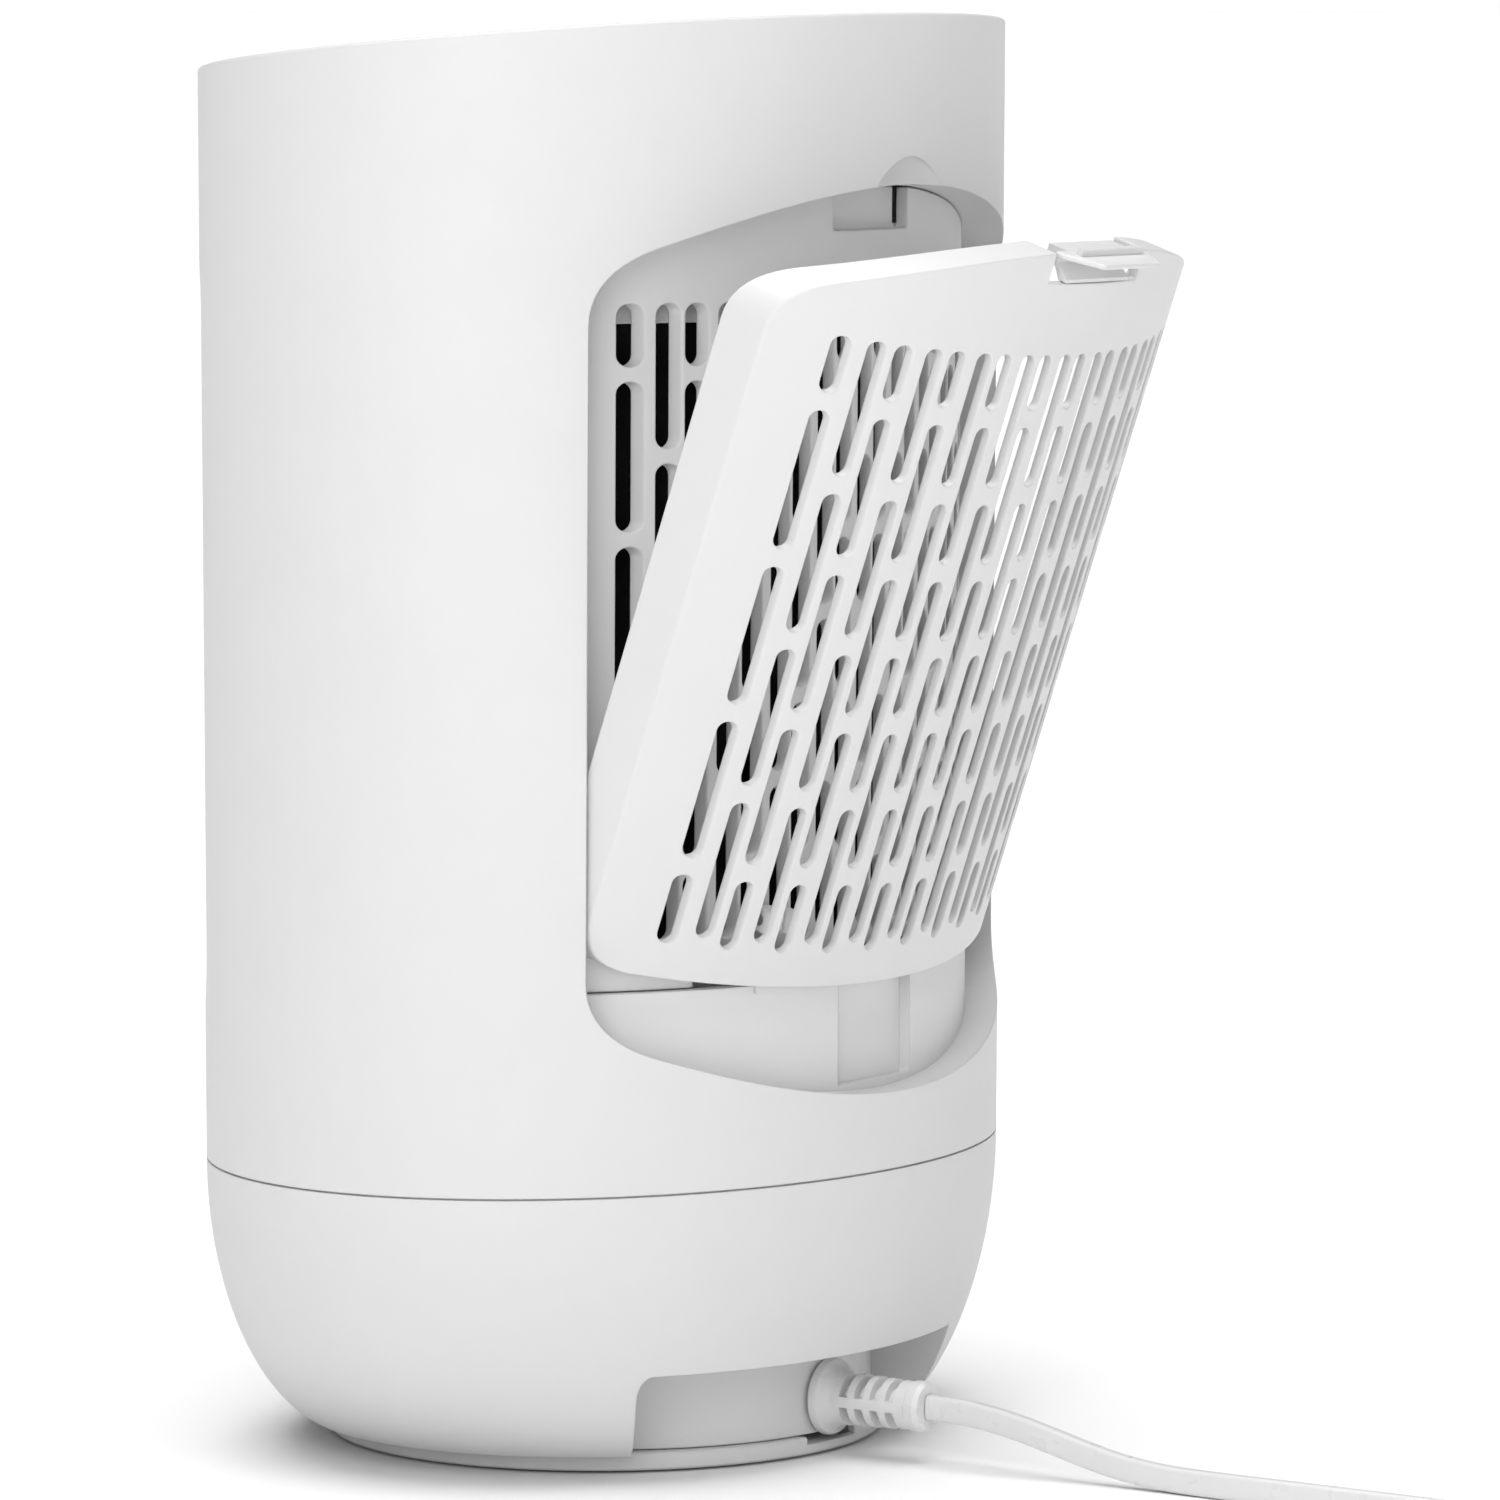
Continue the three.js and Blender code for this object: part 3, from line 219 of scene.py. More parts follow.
# ---------------------------------------------------------------- the workbench
class Bench:
    """Modelling steps that the sub-assemblies share."""

    @staticmethod
    def only(piece: Object) -> None:
        """Selects one object alone and makes it the active one."""
        bpy.ops.object.select_all(action="DESELECT")
        piece.select_set(True)
        bpy.context.view_layer.objects.active = piece

    @classmethod
    def edit(cls, piece: Object) -> None:
        """Opens one object in edit mode with all of it selected."""
        cls.only(piece)
        bpy.ops.object.mode_set(mode="EDIT")
        bpy.ops.mesh.select_all(action="SELECT")

    @classmethod
    def close(cls, piece: Object) -> Object:
        """Merges doubles, turns faces outwards and leaves edit mode.

        Args:
            piece: the object that is open in edit mode.

        Returns:
            The same object.
        """
        bpy.ops.mesh.select_all(action="SELECT")
        bpy.ops.mesh.remove_doubles(threshold=1e-6)
        bpy.ops.mesh.normals_make_consistent(inside=False)
        bpy.ops.object.mode_set(mode="OBJECT")
        return piece

    @classmethod
    def oval(cls, name: str, rings: Sequence[Ring], steps: int = OVAL_STEPS) -> Object:
        """An upright solid through oval rings, from its lowest to its highest.

        Args:
            name: the object's name.
            rings: height, half width and half depth of each ring.
            steps: the corners of a ring.

        Returns:
            The closed solid.
        """
        bpy.ops.object.select_all(action="DESELECT")
        bpy.ops.mesh.primitive_circle_add(vertices=steps, radius=1, fill_type="NGON")
        piece = bpy.context.active_object
        piece.name = name
        z0, a0, b0 = rings[0]
        cls.edit(piece)
        bpy.ops.transform.resize(value=(a0, b0, 1), center_override=(0, 0, 0))
        bpy.ops.transform.translate(value=(0, 0, z0))
        for (z, a, b), (z1, a1, b1) in zip(rings, rings[1:]):
            bpy.ops.mesh.extrude_region_move(TRANSFORM_OT_translate={"value": (0, 0, z1 - z)})
            bpy.ops.transform.resize(value=(a1 / a, b1 / b, 1), center_override=(0, 0, z1))
        return cls.close(piece)

    @classmethod
    def prism(cls, name: str, outline: Sequence[Point2], axis: Axis, low: float, high: float) -> Object:
        """A flat outline drawn out along an axis.

        Args:
            name: the object's name.
            outline: its corners, in the two other axes in their own order.
            axis: the axis along which it is drawn out.
            low: where it starts on that axis.
            high: where it ends.

        Returns:
            The closed solid.
        """
        bpy.ops.object.select_all(action="DESELECT")
        bpy.ops.mesh.primitive_circle_add(vertices=len(outline), radius=1, fill_type="NGON")
        piece = bpy.context.active_object
        piece.name = name
        for corner, (u, v) in zip(piece.data.vertices, outline):
            place = [u, v]
            place.insert(axis.value, low)
            corner.co = place
        way = [0.0, 0.0, 0.0]
        way[axis.value] = high - low
        cls.edit(piece)
        bpy.ops.mesh.extrude_region_move(TRANSFORM_OT_translate={"value": way})
        return cls.close(piece)

    @classmethod
    def block(cls, name: str, low: Sequence[float], high: Sequence[float]) -> Object:
        """A block between two corners, to cut or to build with."""
        outline = [(low[0], low[1]), (high[0], low[1]), (high[0], high[1]), (low[0], high[1])]
        return cls.prism(name, outline, Axis.Z, low[2], high[2])

    @classmethod
    def _combine(cls, piece: Object, tools: Iterable[Object], how: str) -> Object:
        """Applies tools to a piece one after another and removes them.

        Args:
            piece: what is shaped.
            tools: the solids that shape it.
            how: the boolean operation.

        Returns:
            The shaped piece.
        """
        for tool in tools:
            cls.only(piece)
            step = piece.modifiers.new("shape", "BOOLEAN")
            step.operation, step.solver, step.object = how, "EXACT", tool
            bpy.ops.object.modifier_apply(modifier=step.name)
            bpy.data.objects.remove(tool)
        return piece

    @classmethod
    def cut(cls, piece: Object, *tools: Object) -> Object:
        """Takes tools away from a piece."""
        return cls._combine(piece, tools, "DIFFERENCE")

    @classmethod
    def join(cls, piece: Object, *tools: Object) -> Object:
        """Adds solids to a piece."""
        return cls._combine(piece, tools, "UNION")

    @classmethod
    def common(cls, piece: Object, *tools: Object) -> Object:
        """Keeps what a piece shares with each tool."""
        return cls._combine(piece, tools, "INTERSECT")

    @classmethod
    def gather(cls, name: str, parts: Sequence[Object]) -> Object:
        """Joins loose solids that don't touch into one object.

        Args:
            name: the object's name.
            parts: the solids.

        Returns:
            The object that holds them all.
        """
        cls.only(parts[0])
        for part in parts:
            part.select_set(True)
        bpy.ops.object.join()
        parts[0].name = name
        return parts[0]

    @classmethod
    def copy(cls, piece: Object, matrix: Matrix | None = None, name: str = "copy") -> Object:
        """Copies a piece with a mesh of its own.

        Args:
            piece: what is copied.
            matrix: a turn or a shift for the copy.
            name: the copy's name.

        Returns:
            The copy.
        """
        made = piece.copy()
        made.data = piece.data.copy()
        made.name = name
        bpy.context.scene.collection.objects.link(made)
        if matrix is not None:
            made.data.transform(matrix)
        return made

    @classmethod
    def bevel(cls, piece: Object, width: float, segments: int = 2, angle: float = 40.0) -> Object:
        """Rounds a piece's sharp edges.

        Args:
            piece: what is rounded.
            width: the bevel's width.
            segments: its steps.
            angle: the least angle, in degrees, of an edge that is rounded.

        Returns:
            The same piece.
        """
        cls.only(piece)
        step = piece.modifiers.new("round", "BEVEL")
        step.width, step.segments, step.limit_method = width, segments, "ANGLE"
        step.angle_limit = math.radians(angle)
        step.use_clamp_overlap = False
        bpy.ops.object.modifier_apply(modifier=step.name)
        return piece

    @classmethod
    def slice_across(cls, piece: Object, places: Iterable[float]) -> Object:
        """Cuts a piece into strips with planes across X, so that it can be bent.

        Args:
            piece: what is cut.
            places: where the planes stand.

        Returns:
            The same piece.
        """
        cls.edit(piece)
        for x in places:
            bpy.ops.mesh.select_all(action="SELECT")
            bpy.ops.mesh.bisect(plane_co=(x, 0, 0), plane_no=(1, 0, 0))
        return cls.close(piece)

    @staticmethod
    def shape(piece: Object, move: Callable[[Vector], Sequence[float]]) -> Object:
        """Moves each vertex of a piece.

        Args:
            piece: what is reshaped.
            move: gives a vertex's new place.

        Returns:
            The same piece.
        """
        for corner in piece.data.vertices:
            corner.co = move(corner.co)
        piece.data.update()
        return piece

    @classmethod
    def dress(
        cls, piece: Object, finish: Finish, body: str, slot: str,
        nodes: Sequence[str] = (), smooth: float = 32.0,
    ) -> Object:
        """Finishes a piece: shading, material, the body it rides on and the nodes that it stands for.

        Args:
            piece: the finished mesh.
            finish: its finish.
            body: the CAD body that carries it.
            slot: the record's material slot; not used.
            nodes: CAD nodes that it replaces.
            smooth: edges below this angle, in degrees, are shaded smooth.

        Returns:
            The same piece.
        """
        cls.only(piece)
        bpy.ops.object.shade_smooth_by_angle(angle=math.radians(smooth))
        step = piece.modifiers.new("weigh", "WEIGHTED_NORMAL")
        step.keep_sharp = True
        bpy.ops.object.modifier_apply(modifier=step.name)
        piece.data.materials.clear()
        piece.data.materials.append(finish.material())
        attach(piece, body)
        if nodes:
            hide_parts(*nodes)
        LOG.info("%s: %d faces", piece.name, len(piece.data.polygons))
        return piece


def arc(centre: Point2, radius: float, start: float, end: float, steps: int) -> list[Point2]:
    """Points on an arc.

    Args:
        centre: its centre.
        radius: its radius.
        start: its first angle in degrees.
        end: its last angle in degrees.
        steps: how many stretches it has.

    Returns:
        The points, both ends included.
    """
    turns = [math.radians(start + (end - start) * i / steps) for i in range(steps + 1)]
    return [(centre[0] + radius * math.cos(t), centre[1] + radius * math.sin(t)) for t in turns]


def rounded_rect(x0: float, x1: float, z0: float, z1: float, radius: float, steps: int = 4) -> list[Point2]:
    """The outline of a rectangle with round corners.

    Args:
        x0: its low side.
        x1: its high side.
        z0: its low end.
        z1: its high end.
        radius: the corners' radius.
        steps: the steps of a corner.

    Returns:
        Its corners, anticlockwise.
    """
    corners = [(x1, z0, -90.0), (x1, z1, 0.0), (x0, z1, 90.0), (x0, z0, 180.0)]
    outline: list[Point2] = []
    for x, z, start in corners:
        centre = (x - radius if x == x1 else x + radius, z - radius if z == z1 else z + radius)
        outline += arc(centre, radius, start, start + 90, steps)
    return outline


# ---------------------------------------------------------------- the body's form
@dataclass(frozen=True)
class Tower:
    """The oval tower that every outer piece follows."""

    half_width: float = 0.1249
    half_depth: float = 0.0962
    seam: float = 0.0782
    rim: float = 0.373
    rim_slope: float = 0.0876
    draft: float = 0.0039

    def half_sizes(self, z: float, depth: float = 0.0) -> Point2:
        """The half width and half depth at a height, set in by a depth."""
        grown = (z - self.seam) * self.draft - depth
        return self.half_width + grown, self.half_depth + grown

    def ring(self, z: float, depth: float = 0.0) -> Ring:
        """The oval ring at a height, set in by a depth."""
        return (z, *self.half_sizes(z, depth))

    def solid(self, depth: float, low: float = 0.05, high: float = 0.42) -> Object:
        """The tower set in by a depth, between two heights."""
        return Bench.oval("tower", [self.ring(low, depth), self.ring(high, depth)])

    def band(self, near: float, far: float, low: float = 0.06, high: float = 0.40) -> Object:
        """The wall between two depths."""
        return Bench.cut(self.solid(near, low, high), self.solid(far, low - 0.01, high + 0.01))

    def wrapped(self, flat: Vector) -> Vector:
        """Where a point of a flat panel lies when the panel follows the rear of the tower.

        Args:
            flat: X across, Y minus the depth below the surface, Z up.

        Returns:
            The point on the curved panel.
        """
        a, b = self.half_sizes(flat.z, -flat.y)
        return Vector((flat.x, b * math.sqrt(max(0.0, 1 - (flat.x / a) ** 2)), flat.z))

    def to_rim(self, level: Vector) -> Vector:
        """Shears a level point so that it follows the sloping rim."""
        return Vector((level.x, level.y, level.z + self.rim_slope * level.y))


@dataclass(frozen=True)
class Intake:
    """The outlines of an intake: the opening, the cover in it and its slots."""

    half_width: float = 0.0963
    low: float = 0.099
    high: float = 0.3367
    bow: float = 2.25
    corner: float = 0.014
    cover_gap: float = 0.0011
    cover_low: float = 0.1308
    cover_corner: float = 0.013
    slot_width: float = 0.005
    slot_pairs: int = 10
    pair_pitch: float = 0.0163
    pair_step: float = 0.009
    first_slot: float = 0.07785
    row_pitch: float = 0.0424
    row_gap: float = 0.0051
    top_row: float = 0.3079
    field_top: float = 0.3067
    field_low: float = 0.1408

    def outline(self, grow: float, low: float, low_bow: float, corner: float) -> list[Point2]:
        """An outline with arched ends and round corners.

        Args:
            grow: how far it stands outside the opening.
            low: its lowest point.
            low_bow: how strongly its lower edge is arched.
            corner: the corners' size before it grows.

        Returns:
            Its points.
        """
        width, high, size = self.half_width + grow, self.high + grow, corner + grow
        edge = width - size

        def top(x: float) -> float:
            """The height of the arched upper edge."""
            return high - self.bow * x * x

        def bottom(x: float) -> float:
            """The height of the lower edge."""
            return low + low_bow * x * x

        def bend(p: Point2, q: Point2, r: Point2) -> list[Point2]:
            """The points of a round corner between p and r, drawn towards q."""
            steps = [i / 10 for i in range(1, 10)]
            return [
                tuple((1 - t) ** 2 * p[k] + 2 * t * (1 - t) * q[k] + t * t * r[k] for k in (0, 1))
                for t in steps
            ]

        across = [edge * (1 - i / 24) for i in range(49)]
        right, left = (width, top(width) - size), (-width, top(width) - size)
        low_left, low_right = (-width, bottom(width) + size), (width, bottom(width) + size)
        points = [right] + bend(right, (width, top(width)), (edge, top(edge)))
        points += [(x, top(x)) for x in across]
        points += bend((-edge, top(edge)), (-width, top(width)), left) + [left, low_left]
        points += bend(low_left, (-width, bottom(width)), (-edge, bottom(edge)))
        points += [(-x, bottom(x)) for x in across]
        points += bend((edge, bottom(edge)), (width, bottom(width)), low_right) + [low_right]
        return points

    def opening(self, grow: float) -> Object:
        """The opening's solid through the rear half, grown by a margin."""
        outline = self.outline(grow, self.low - grow, self.bow, self.corner)
        return Bench.prism("opening", outline, Axis.Y, 0.02, 0.14)

    def cover_outline(self, inset: float) -> list[Point2]:
        """The cover's outline, set in by an inset."""
        return self.outline(-self.cover_gap - inset, self.cover_low + inset, 0.0, self.cover_corner)

    def slots(self, grow: float, near: float, far: float) -> Object:
        """All air slots as one cutting tool for a flat panel.

        Args:
            grow: how far each slot is grown all round.
            near: the tool's low end along Y.
            far: its high end.

        Returns:
            The slots' solids as one object.
        """
        tools: list[Object] = []
        half = self.slot_width / 2 + grow
        for index in range(2 * self.slot_pairs):
            pair, second = divmod(index, 2)
            x = self.first_slot - pair * self.pair_pitch - second * self.pair_step
            first = self.top_row + (0 if second else self.row_pitch / 2)
            for row in range(5):
                high = min(first - row * self.row_pitch, self.field_top) + grow
                low = max(first - (row + 1) * self.row_pitch + self.row_gap, self.field_low) - grow
                if high - low > 0.01:
                    outline = rounded_rect(x - half, x + half, low, high, half * 0.97, 5)
                    tools.append(Bench.prism("slot", outline, Axis.Y, near, far))
        return Bench.gather("slots", tools)


TOWER = Tower()
INTAKE = Intake()
HINGE_AT = Vector((0, 0.0833, 0.1478))
HINGE_EYE = 0.003  # the radius of a post's eye and of a lug's round end
HINGE_POST = 0.0447  # how far out the middle of each hinge post stands
PANEL_BACK, PANEL_FRONT = -0.03, 0.01  # a tool that goes through a flat panel reaches this far
OPEN_ANGLE = math.radians(18.9)


def swung_open() -> Matrix:
    """The move that takes the closed rear cover to where it stands open."""
    there, back = Matrix.Translation(HINGE_AT), Matrix.Translation(-HINGE_AT)
    return there @ Matrix.Rotation(-OPEN_ANGLE, 4, "X") @ back


# ---------------------------------------------------------------- camera and light
@dataclass
class Studio:
    """The camera, the pale floor and the soft lights."""

    aim: Vector = field(default_factory=lambda: Vector((0, 0, 0.18365)))
    azimuth: float = 125.15
    elevation: float = 5.244
    distance: float = 2.2017
    lens: float = 196.3
    shift: float = 0.0957
    sky: float = 0.12
    horizon: Point2 = (0.045, 0.11)
    sensor: float = 36
    floor_size: float = 400
    floor_tone: float = 0.9
    sun: float = 3.25
    sun_spread: float = 60

    def build(self) -> None:
        """Sets up the whole studio."""
        self.camera()
        self.floor()
        self.lights()

    def away(self, azimuth: float, elevation: float) -> Vector:
        """The direction from the object towards a viewpoint, both angles in degrees."""
        a, e = math.radians(azimuth), math.radians(elevation)
        return Vector((math.sin(a) * math.cos(e), -math.cos(a) * math.cos(e), math.sin(e)))

    def camera(self) -> None:
        """Places the camera."""
        data = bpy.data.cameras.new("camera")
        eye = bpy.data.objects.new("camera", data)
        bpy.context.scene.collection.objects.link(eye)
        back = self.away(self.azimuth, self.elevation)
        eye.location = self.aim + back * self.distance
        eye.rotation_mode = "QUATERNION"
        eye.rotation_quaternion = (-back).to_track_quat("-Z", "Y")
        data.lens, data.sensor_width, data.shift_x = self.lens, self.sensor, self.shift
        bpy.context.scene.camera = eye

    def floor(self) -> None:
        """Lays the pale floor, wide enough to reach the horizon."""
        bpy.ops.object.select_all(action="DESELECT")
        bpy.ops.mesh.primitive_plane_add(size=self.floor_size, location=(0, 0, 0))
        plane = bpy.context.active_object
        plane.name = "floor"
        paint = bpy.data.materials.new("floor_paint")
        paint.use_nodes = True
        shader = paint.node_tree.nodes["Principled BSDF"]
        shader.inputs["Base Color"].default_value = (self.floor_tone, self.floor_tone, self.floor_tone, 1)
        shader.inputs["Roughness"].default_value = 1.0
        shader.inputs["Specular IOR Level"].default_value = 0.0
        plane.data.materials.append(paint)

    def lights(self) -> None:
        """Sets the surroundings, white at the horizon and softer above, and hangs the lights."""
        scene = bpy.context.scene
        scene.view_settings.view_transform = "Standard"
        world = bpy.data.worlds.new("surroundings")
        world.use_nodes = True
        tree = world.node_tree
        height = tree.nodes.new("ShaderNodeSeparateXYZ")
        tree.links.new(tree.nodes.new("ShaderNodeTexCoord").outputs["Generated"], height.inputs["Vector"])
        fade = tree.nodes.new("ShaderNodeValToRGB")
        low, high = fade.color_ramp.elements
        low.position, high.position = self.horizon
        low.color, high.color = (1, 1, 1, 1), (self.sky, self.sky, self.sky, 1)
        tree.links.new(height.outputs["Z"], fade.inputs["Fac"])
        tree.links.new(fade.outputs["Color"], tree.nodes["Background"].inputs["Color"])
        scene.world = world
        self.panel("key", azimuth=112, elevation=24, distance=2.2, size=1.3, power=18.5)
        self.panel("fill", azimuth=172, elevation=18, distance=2.2, size=1.2, power=5)
        self.overhead()

    def overhead(self) -> None:
        """Hangs the wide soft light that brightens the floor."""
        data = bpy.data.lights.new("overhead", "SUN")
        data.energy, data.angle = self.sun, math.radians(self.sun_spread)
        lamp = bpy.data.objects.new("overhead", data)
        bpy.context.scene.collection.objects.link(lamp)

    def panel(
        self, name: str, azimuth: float, elevation: float, distance: float, size: float, power: float
    ) -> None:
        """Hangs one square light panel that faces the object.

        Args:
            name: its name.
            azimuth: its side, in degrees.
            elevation: its height, in degrees.
            distance: how far it is from the object.
            size: its width.
            power: its power in watts.
        """
        data = bpy.data.lights.new(name, "AREA")
        data.size, data.energy = size, power
        lamp = bpy.data.objects.new(name, data)
        bpy.context.scene.collection.objects.link(lamp)
        back = self.away(azimuth, elevation)
        lamp.location = self.aim + back * distance
        lamp.rotation_mode = "QUATERNION"
        lamp.rotation_quaternion = (-back).to_track_quat("-Z", "Y")


# ---------------------------------------------------------------- cord and plug
@dataclass
class MainsLead:
    """The flat mains cord, its coil, its tie, its plug and its strain relief."""

    height: float = 0.0067
    width: float = 0.0044
    exit: tuple[float, float, float] = CORD_EXIT
    route: tuple[tuple[float, float, float], ...] = (
        (0, 0.1043, 0.015), (0, 0.112, 0.0149), (0, 0.121, 0.0142), (0, 0.131, 0.0126), (0, 0.142, 0.0101),
        (0, 0.153, 0.0074), (0, 0.164, 0.0052), (0, 0.176, 0.0039), (0, 0.190, 0.0035), (0, 0.210, 0.0035),
        (0, 0.235, 0.0035), (0, 0.262, 0.0035), (0, 0.280, 0.0035), (0, 0.293, 0.0035), (0, 0.307, 0.0035),
    )
    coil_centre: tuple[float, float] = (-0.0426, 0.320)
    coil_start: float = 0.0426
    coil_step: float = 0.0045
    coil_turns: float = 6.5
    turn_back: float = 2.9
    layer: float = 0.0068
    plug_at: tuple[float, float, float] = (-0.0881, 0.293, 0.0088)
    coil_points: int = 36
    rest_height: float = 0.0035
    climb_turns: float = 0.45
    fall_turns: float = 0.4
    last_drop: float = 0.0012
    sides: int = 24
    squareness: float = 4.5
    windows: int = 4
    first_window: float = 0.0800
    window_pitch: float = 0.0047
    window_width: float = 0.0026

    def build(self) -> None:
        """Makes the cord with all that is on it, and the relief."""
        plug = self.plug()
        tie = self.tie()
        relief = self.relief()
        line = self.line()
        lead = self.tube("power_lead", line)
        Bench.dress(lead, SOFT_WHITE, "housing", "gloss", ("power_cord", "cord_coil"), 60)
        length = sum((q - p).length for p, q in zip(line, line[1:]))
        LOG.info("cord length %.3f m", length)
        LOG.info("%s and %s are done", plug.name, relief.name)

    def line(self) -> list[Vector]:
        """The cord's centreline: the free stretch, the coil's turns and the way to the plug.

        Returns:
            Its points, from the exit to the plug.
        """
        hand = [Vector(p) for p in self.route]
        free: list[Vector] = []
        for i in range(len(hand) - 1):
            p0, p1, p2, p3 = hand[max(0, i - 1)], hand[i], hand[i + 1], hand[min(len(hand) - 1, i + 2)]
            for t in (0, 0.25, 0.5, 0.75):
                free.append(
                    0.5 * (2 * p1 + (p2 - p0) * t + (2 * p0 - 5 * p1 + 4 * p2 - p3) * t * t
                           + (3 * p1 - p0 - 3 * p2 + p3) * t ** 3)
                )
        count = self.coil_points
        coil = [self.coil_point(i / count) for i in range(int(self.coil_turns * count) + 1)]
        x, y, z = self.plug_at
        to_plug = [(x, y + 0.014, z + 0.0008), (x, y + 0.006, z), (x, y - 0.002, z)]
        return free + coil + [Vector(p) for p in to_plug]

    def coil_point(self, turns: float) -> Vector:
        """A point of the coil, which winds in on the floor and out again on top.

        Args:
            turns: how many turns lie before it.

        Returns:
            The point.
        """
        inner = self.coil_start - self.coil_step * self.turn_back
        out = turns - self.turn_back
        radius = self.coil_start - self.coil_step * turns if out < 0 else inner + self.coil_step * out
        climb = min(1.0, max(0.0, (turns - self.turn_back + self.climb_turns) / self.climb_turns))
        fall = min(1.0, max(0.0, (turns - self.coil_turns + self.fall_turns) / self.fall_turns))
        ease = climb * climb * (3 - 2 * climb)
        z = self.rest_height + self.layer * ease - self.last_drop * fall
        angle = 2 * math.pi * turns
        x, y = self.coil_centre
        return Vector((x + radius * math.cos(angle), y + radius * math.sin(angle), z))

    def tube(self, name: str, line: Sequence[Vector]) -> Object:
        """A flat cord swept along a line, with its tall side upright.

        Args:
            name: the object's name.
            line: the ring centres.

        Returns:
            The closed tube.
        """
        sides, power = self.sides, self.squareness
        bpy.ops.object.select_all(action="DESELECT")
        bpy.ops.mesh.primitive_cylinder_add(vertices=sides, radius=1, depth=1, end_fill_type="NGON")
        piece = bpy.context.active_object
        piece.name = name
        section = []
        for i in range(sides):
            angle = 2 * math.pi * (i + 0.5) / sides
            c, s = math.cos(angle), math.sin(angle)
            soft = (abs(c) ** power + abs(s) ** power) ** (-1 / power)
            section.append((self.width / 2 * c * soft, self.height / 2 * s * soft))
        corners: list[Vector] = []
        for i, point in enumerate(line):
            ahead = (line[min(i + 1, len(line) - 1)] - line[max(i - 1, 0)]).normalized()
            across = ahead.cross(Vector((0, 0, 1))).normalized()
            upward = across.cross(ahead)
            corners += [point + across * u + upward * v for u, v in section]
        faces: list[tuple[int, ...]] = []
        for r in range(len(line) - 1):
            here, there = r * sides, (r + 1) * sides
            for i in range(sides):
                j = (i + 1) % sides
                faces.append((here + i, here + j, there + j, there + i))
        last = (len(line) - 1) * sides
        faces += [tuple(reversed(range(sides))), tuple(range(last, last + sides))]
        piece.data.clear_geometry()
        piece.data.from_pydata(corners, [], faces)
        Bench.edit(piece)
        return Bench.close(piece)

    def plug(self) -> Object:
        """The moulded two-blade plug, with a finger grip on each side.

        Returns:
            The plug.
        """
        x, y, z = self.plug_at
        side = [
            (y, z - 0.0044), (y, z + 0.0044), (y - 0.012, z + 0.006), (y - 0.016, z + 0.0085),
            (y - 0.034, z + 0.0085), (y - 0.034, z - 0.0085), (y - 0.016, z - 0.0085), (y - 0.012, z - 0.006),
        ]
        plan = [
            (x - 0.0046, y + 0.001), (x - 0.0065, y - 0.012), (x - 0.012, y - 0.017), (x - 0.0128, y - 0.035),
            (x + 0.0128, y - 0.035), (x + 0.012, y - 0.017), (x + 0.0065, y - 0.012), (x + 0.0046, y + 0.001),
        ]
        piece = Bench.prism("plug_housing", side, Axis.X, x - 0.0128, x + 0.0128)
        Bench.common(piece, Bench.prism("plan", plan, Axis.Z, z - 0.02, z + 0.02))
        Bench.bevel(piece, 0.0016, 4, 20)
        grips = [
            Bench.block("grip", (x + s * 0.0135 - 0.0018, y - 0.021 - 0.0035 * i, z - 0.0055),
                        (x + s * 0.0135 + 0.0018, y - 0.0195 - 0.0035 * i, z + 0.0055))
            for s in (-1, 1) for i in range(4)
        ]
        Bench.cut(piece, *grips)
        return Bench.dress(piece, GLOSS, "housing", "gloss", ("plug_body",))

    def tie(self) -> Object:
        """The band round the coil.

        Returns:
            The band.
        """
        x = self.coil_centre[0]
        low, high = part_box("cord_tie")
        outline = rounded_rect(low.y, high.y, 0.0001, high.z, 0.003, 6)
        hole = rounded_rect(low.y + 0.0011, high.y - 0.0011, 0.0009, high.z - 0.0011, 0.0022, 6)
        piece = Bench.prism("coil_tie", outline, Axis.X, x - 0.004, x + 0.004)
        Bench.cut(piece, Bench.prism("hole", hole, Axis.X, x - 0.01, x + 0.01))
        return Bench.dress(piece, DARK, "housing", "dark", ("cord_tie",))

    def relief(self) -> Object:
        """The tapered strain relief with its rows of windows.

        Returns:
            The relief.
        """
        profile = [
            (0.0626, 0.0056), (0.0636, 0.0066), (0.072, 0.0066), (0.072, 0.0098), (0.0725, 0.0103),
            (0.0737, 0.0103), (0.0745, 0.0099), (0.0752, 0.0086), (0.0768, 0.0076), (0.078, 0.0072),
            (0.0998, 0.0064), (0.1002, 0.0068), (0.1028, 0.0068), (0.104, 0.006),
        ]
        piece = Bench.oval("cord_relief", [(y, r, r) for y, r in profile], 64)
        tools = []
        for i in range(self.windows):
            y = self.first_window + self.window_pitch * i
            hoop = Bench.oval("hoop", [(y, 0.009, 0.009), (y + self.window_width, 0.009, 0.009)], 48)
            core = Bench.oval("core", [(y - 0.001, 0.0042, 0.0042), (y + 0.004, 0.0042, 0.0042)], 32)
            Bench.cut(hoop, core)
            Bench.cut(hoop, Bench.block("rib", (-0.012, -0.0014, y - 0.002), (0.012, 0.0014, y + 0.006)))
            tools.append(hoop)
        Bench.cut(piece, *tools)
        piece.data.transform(Matrix.Translation((0, 0, self.exit[2])) @ LAID_BACK)
        return Bench.dress(piece, SOFT_WHITE, "housing", "gloss", ("strain_relief",))


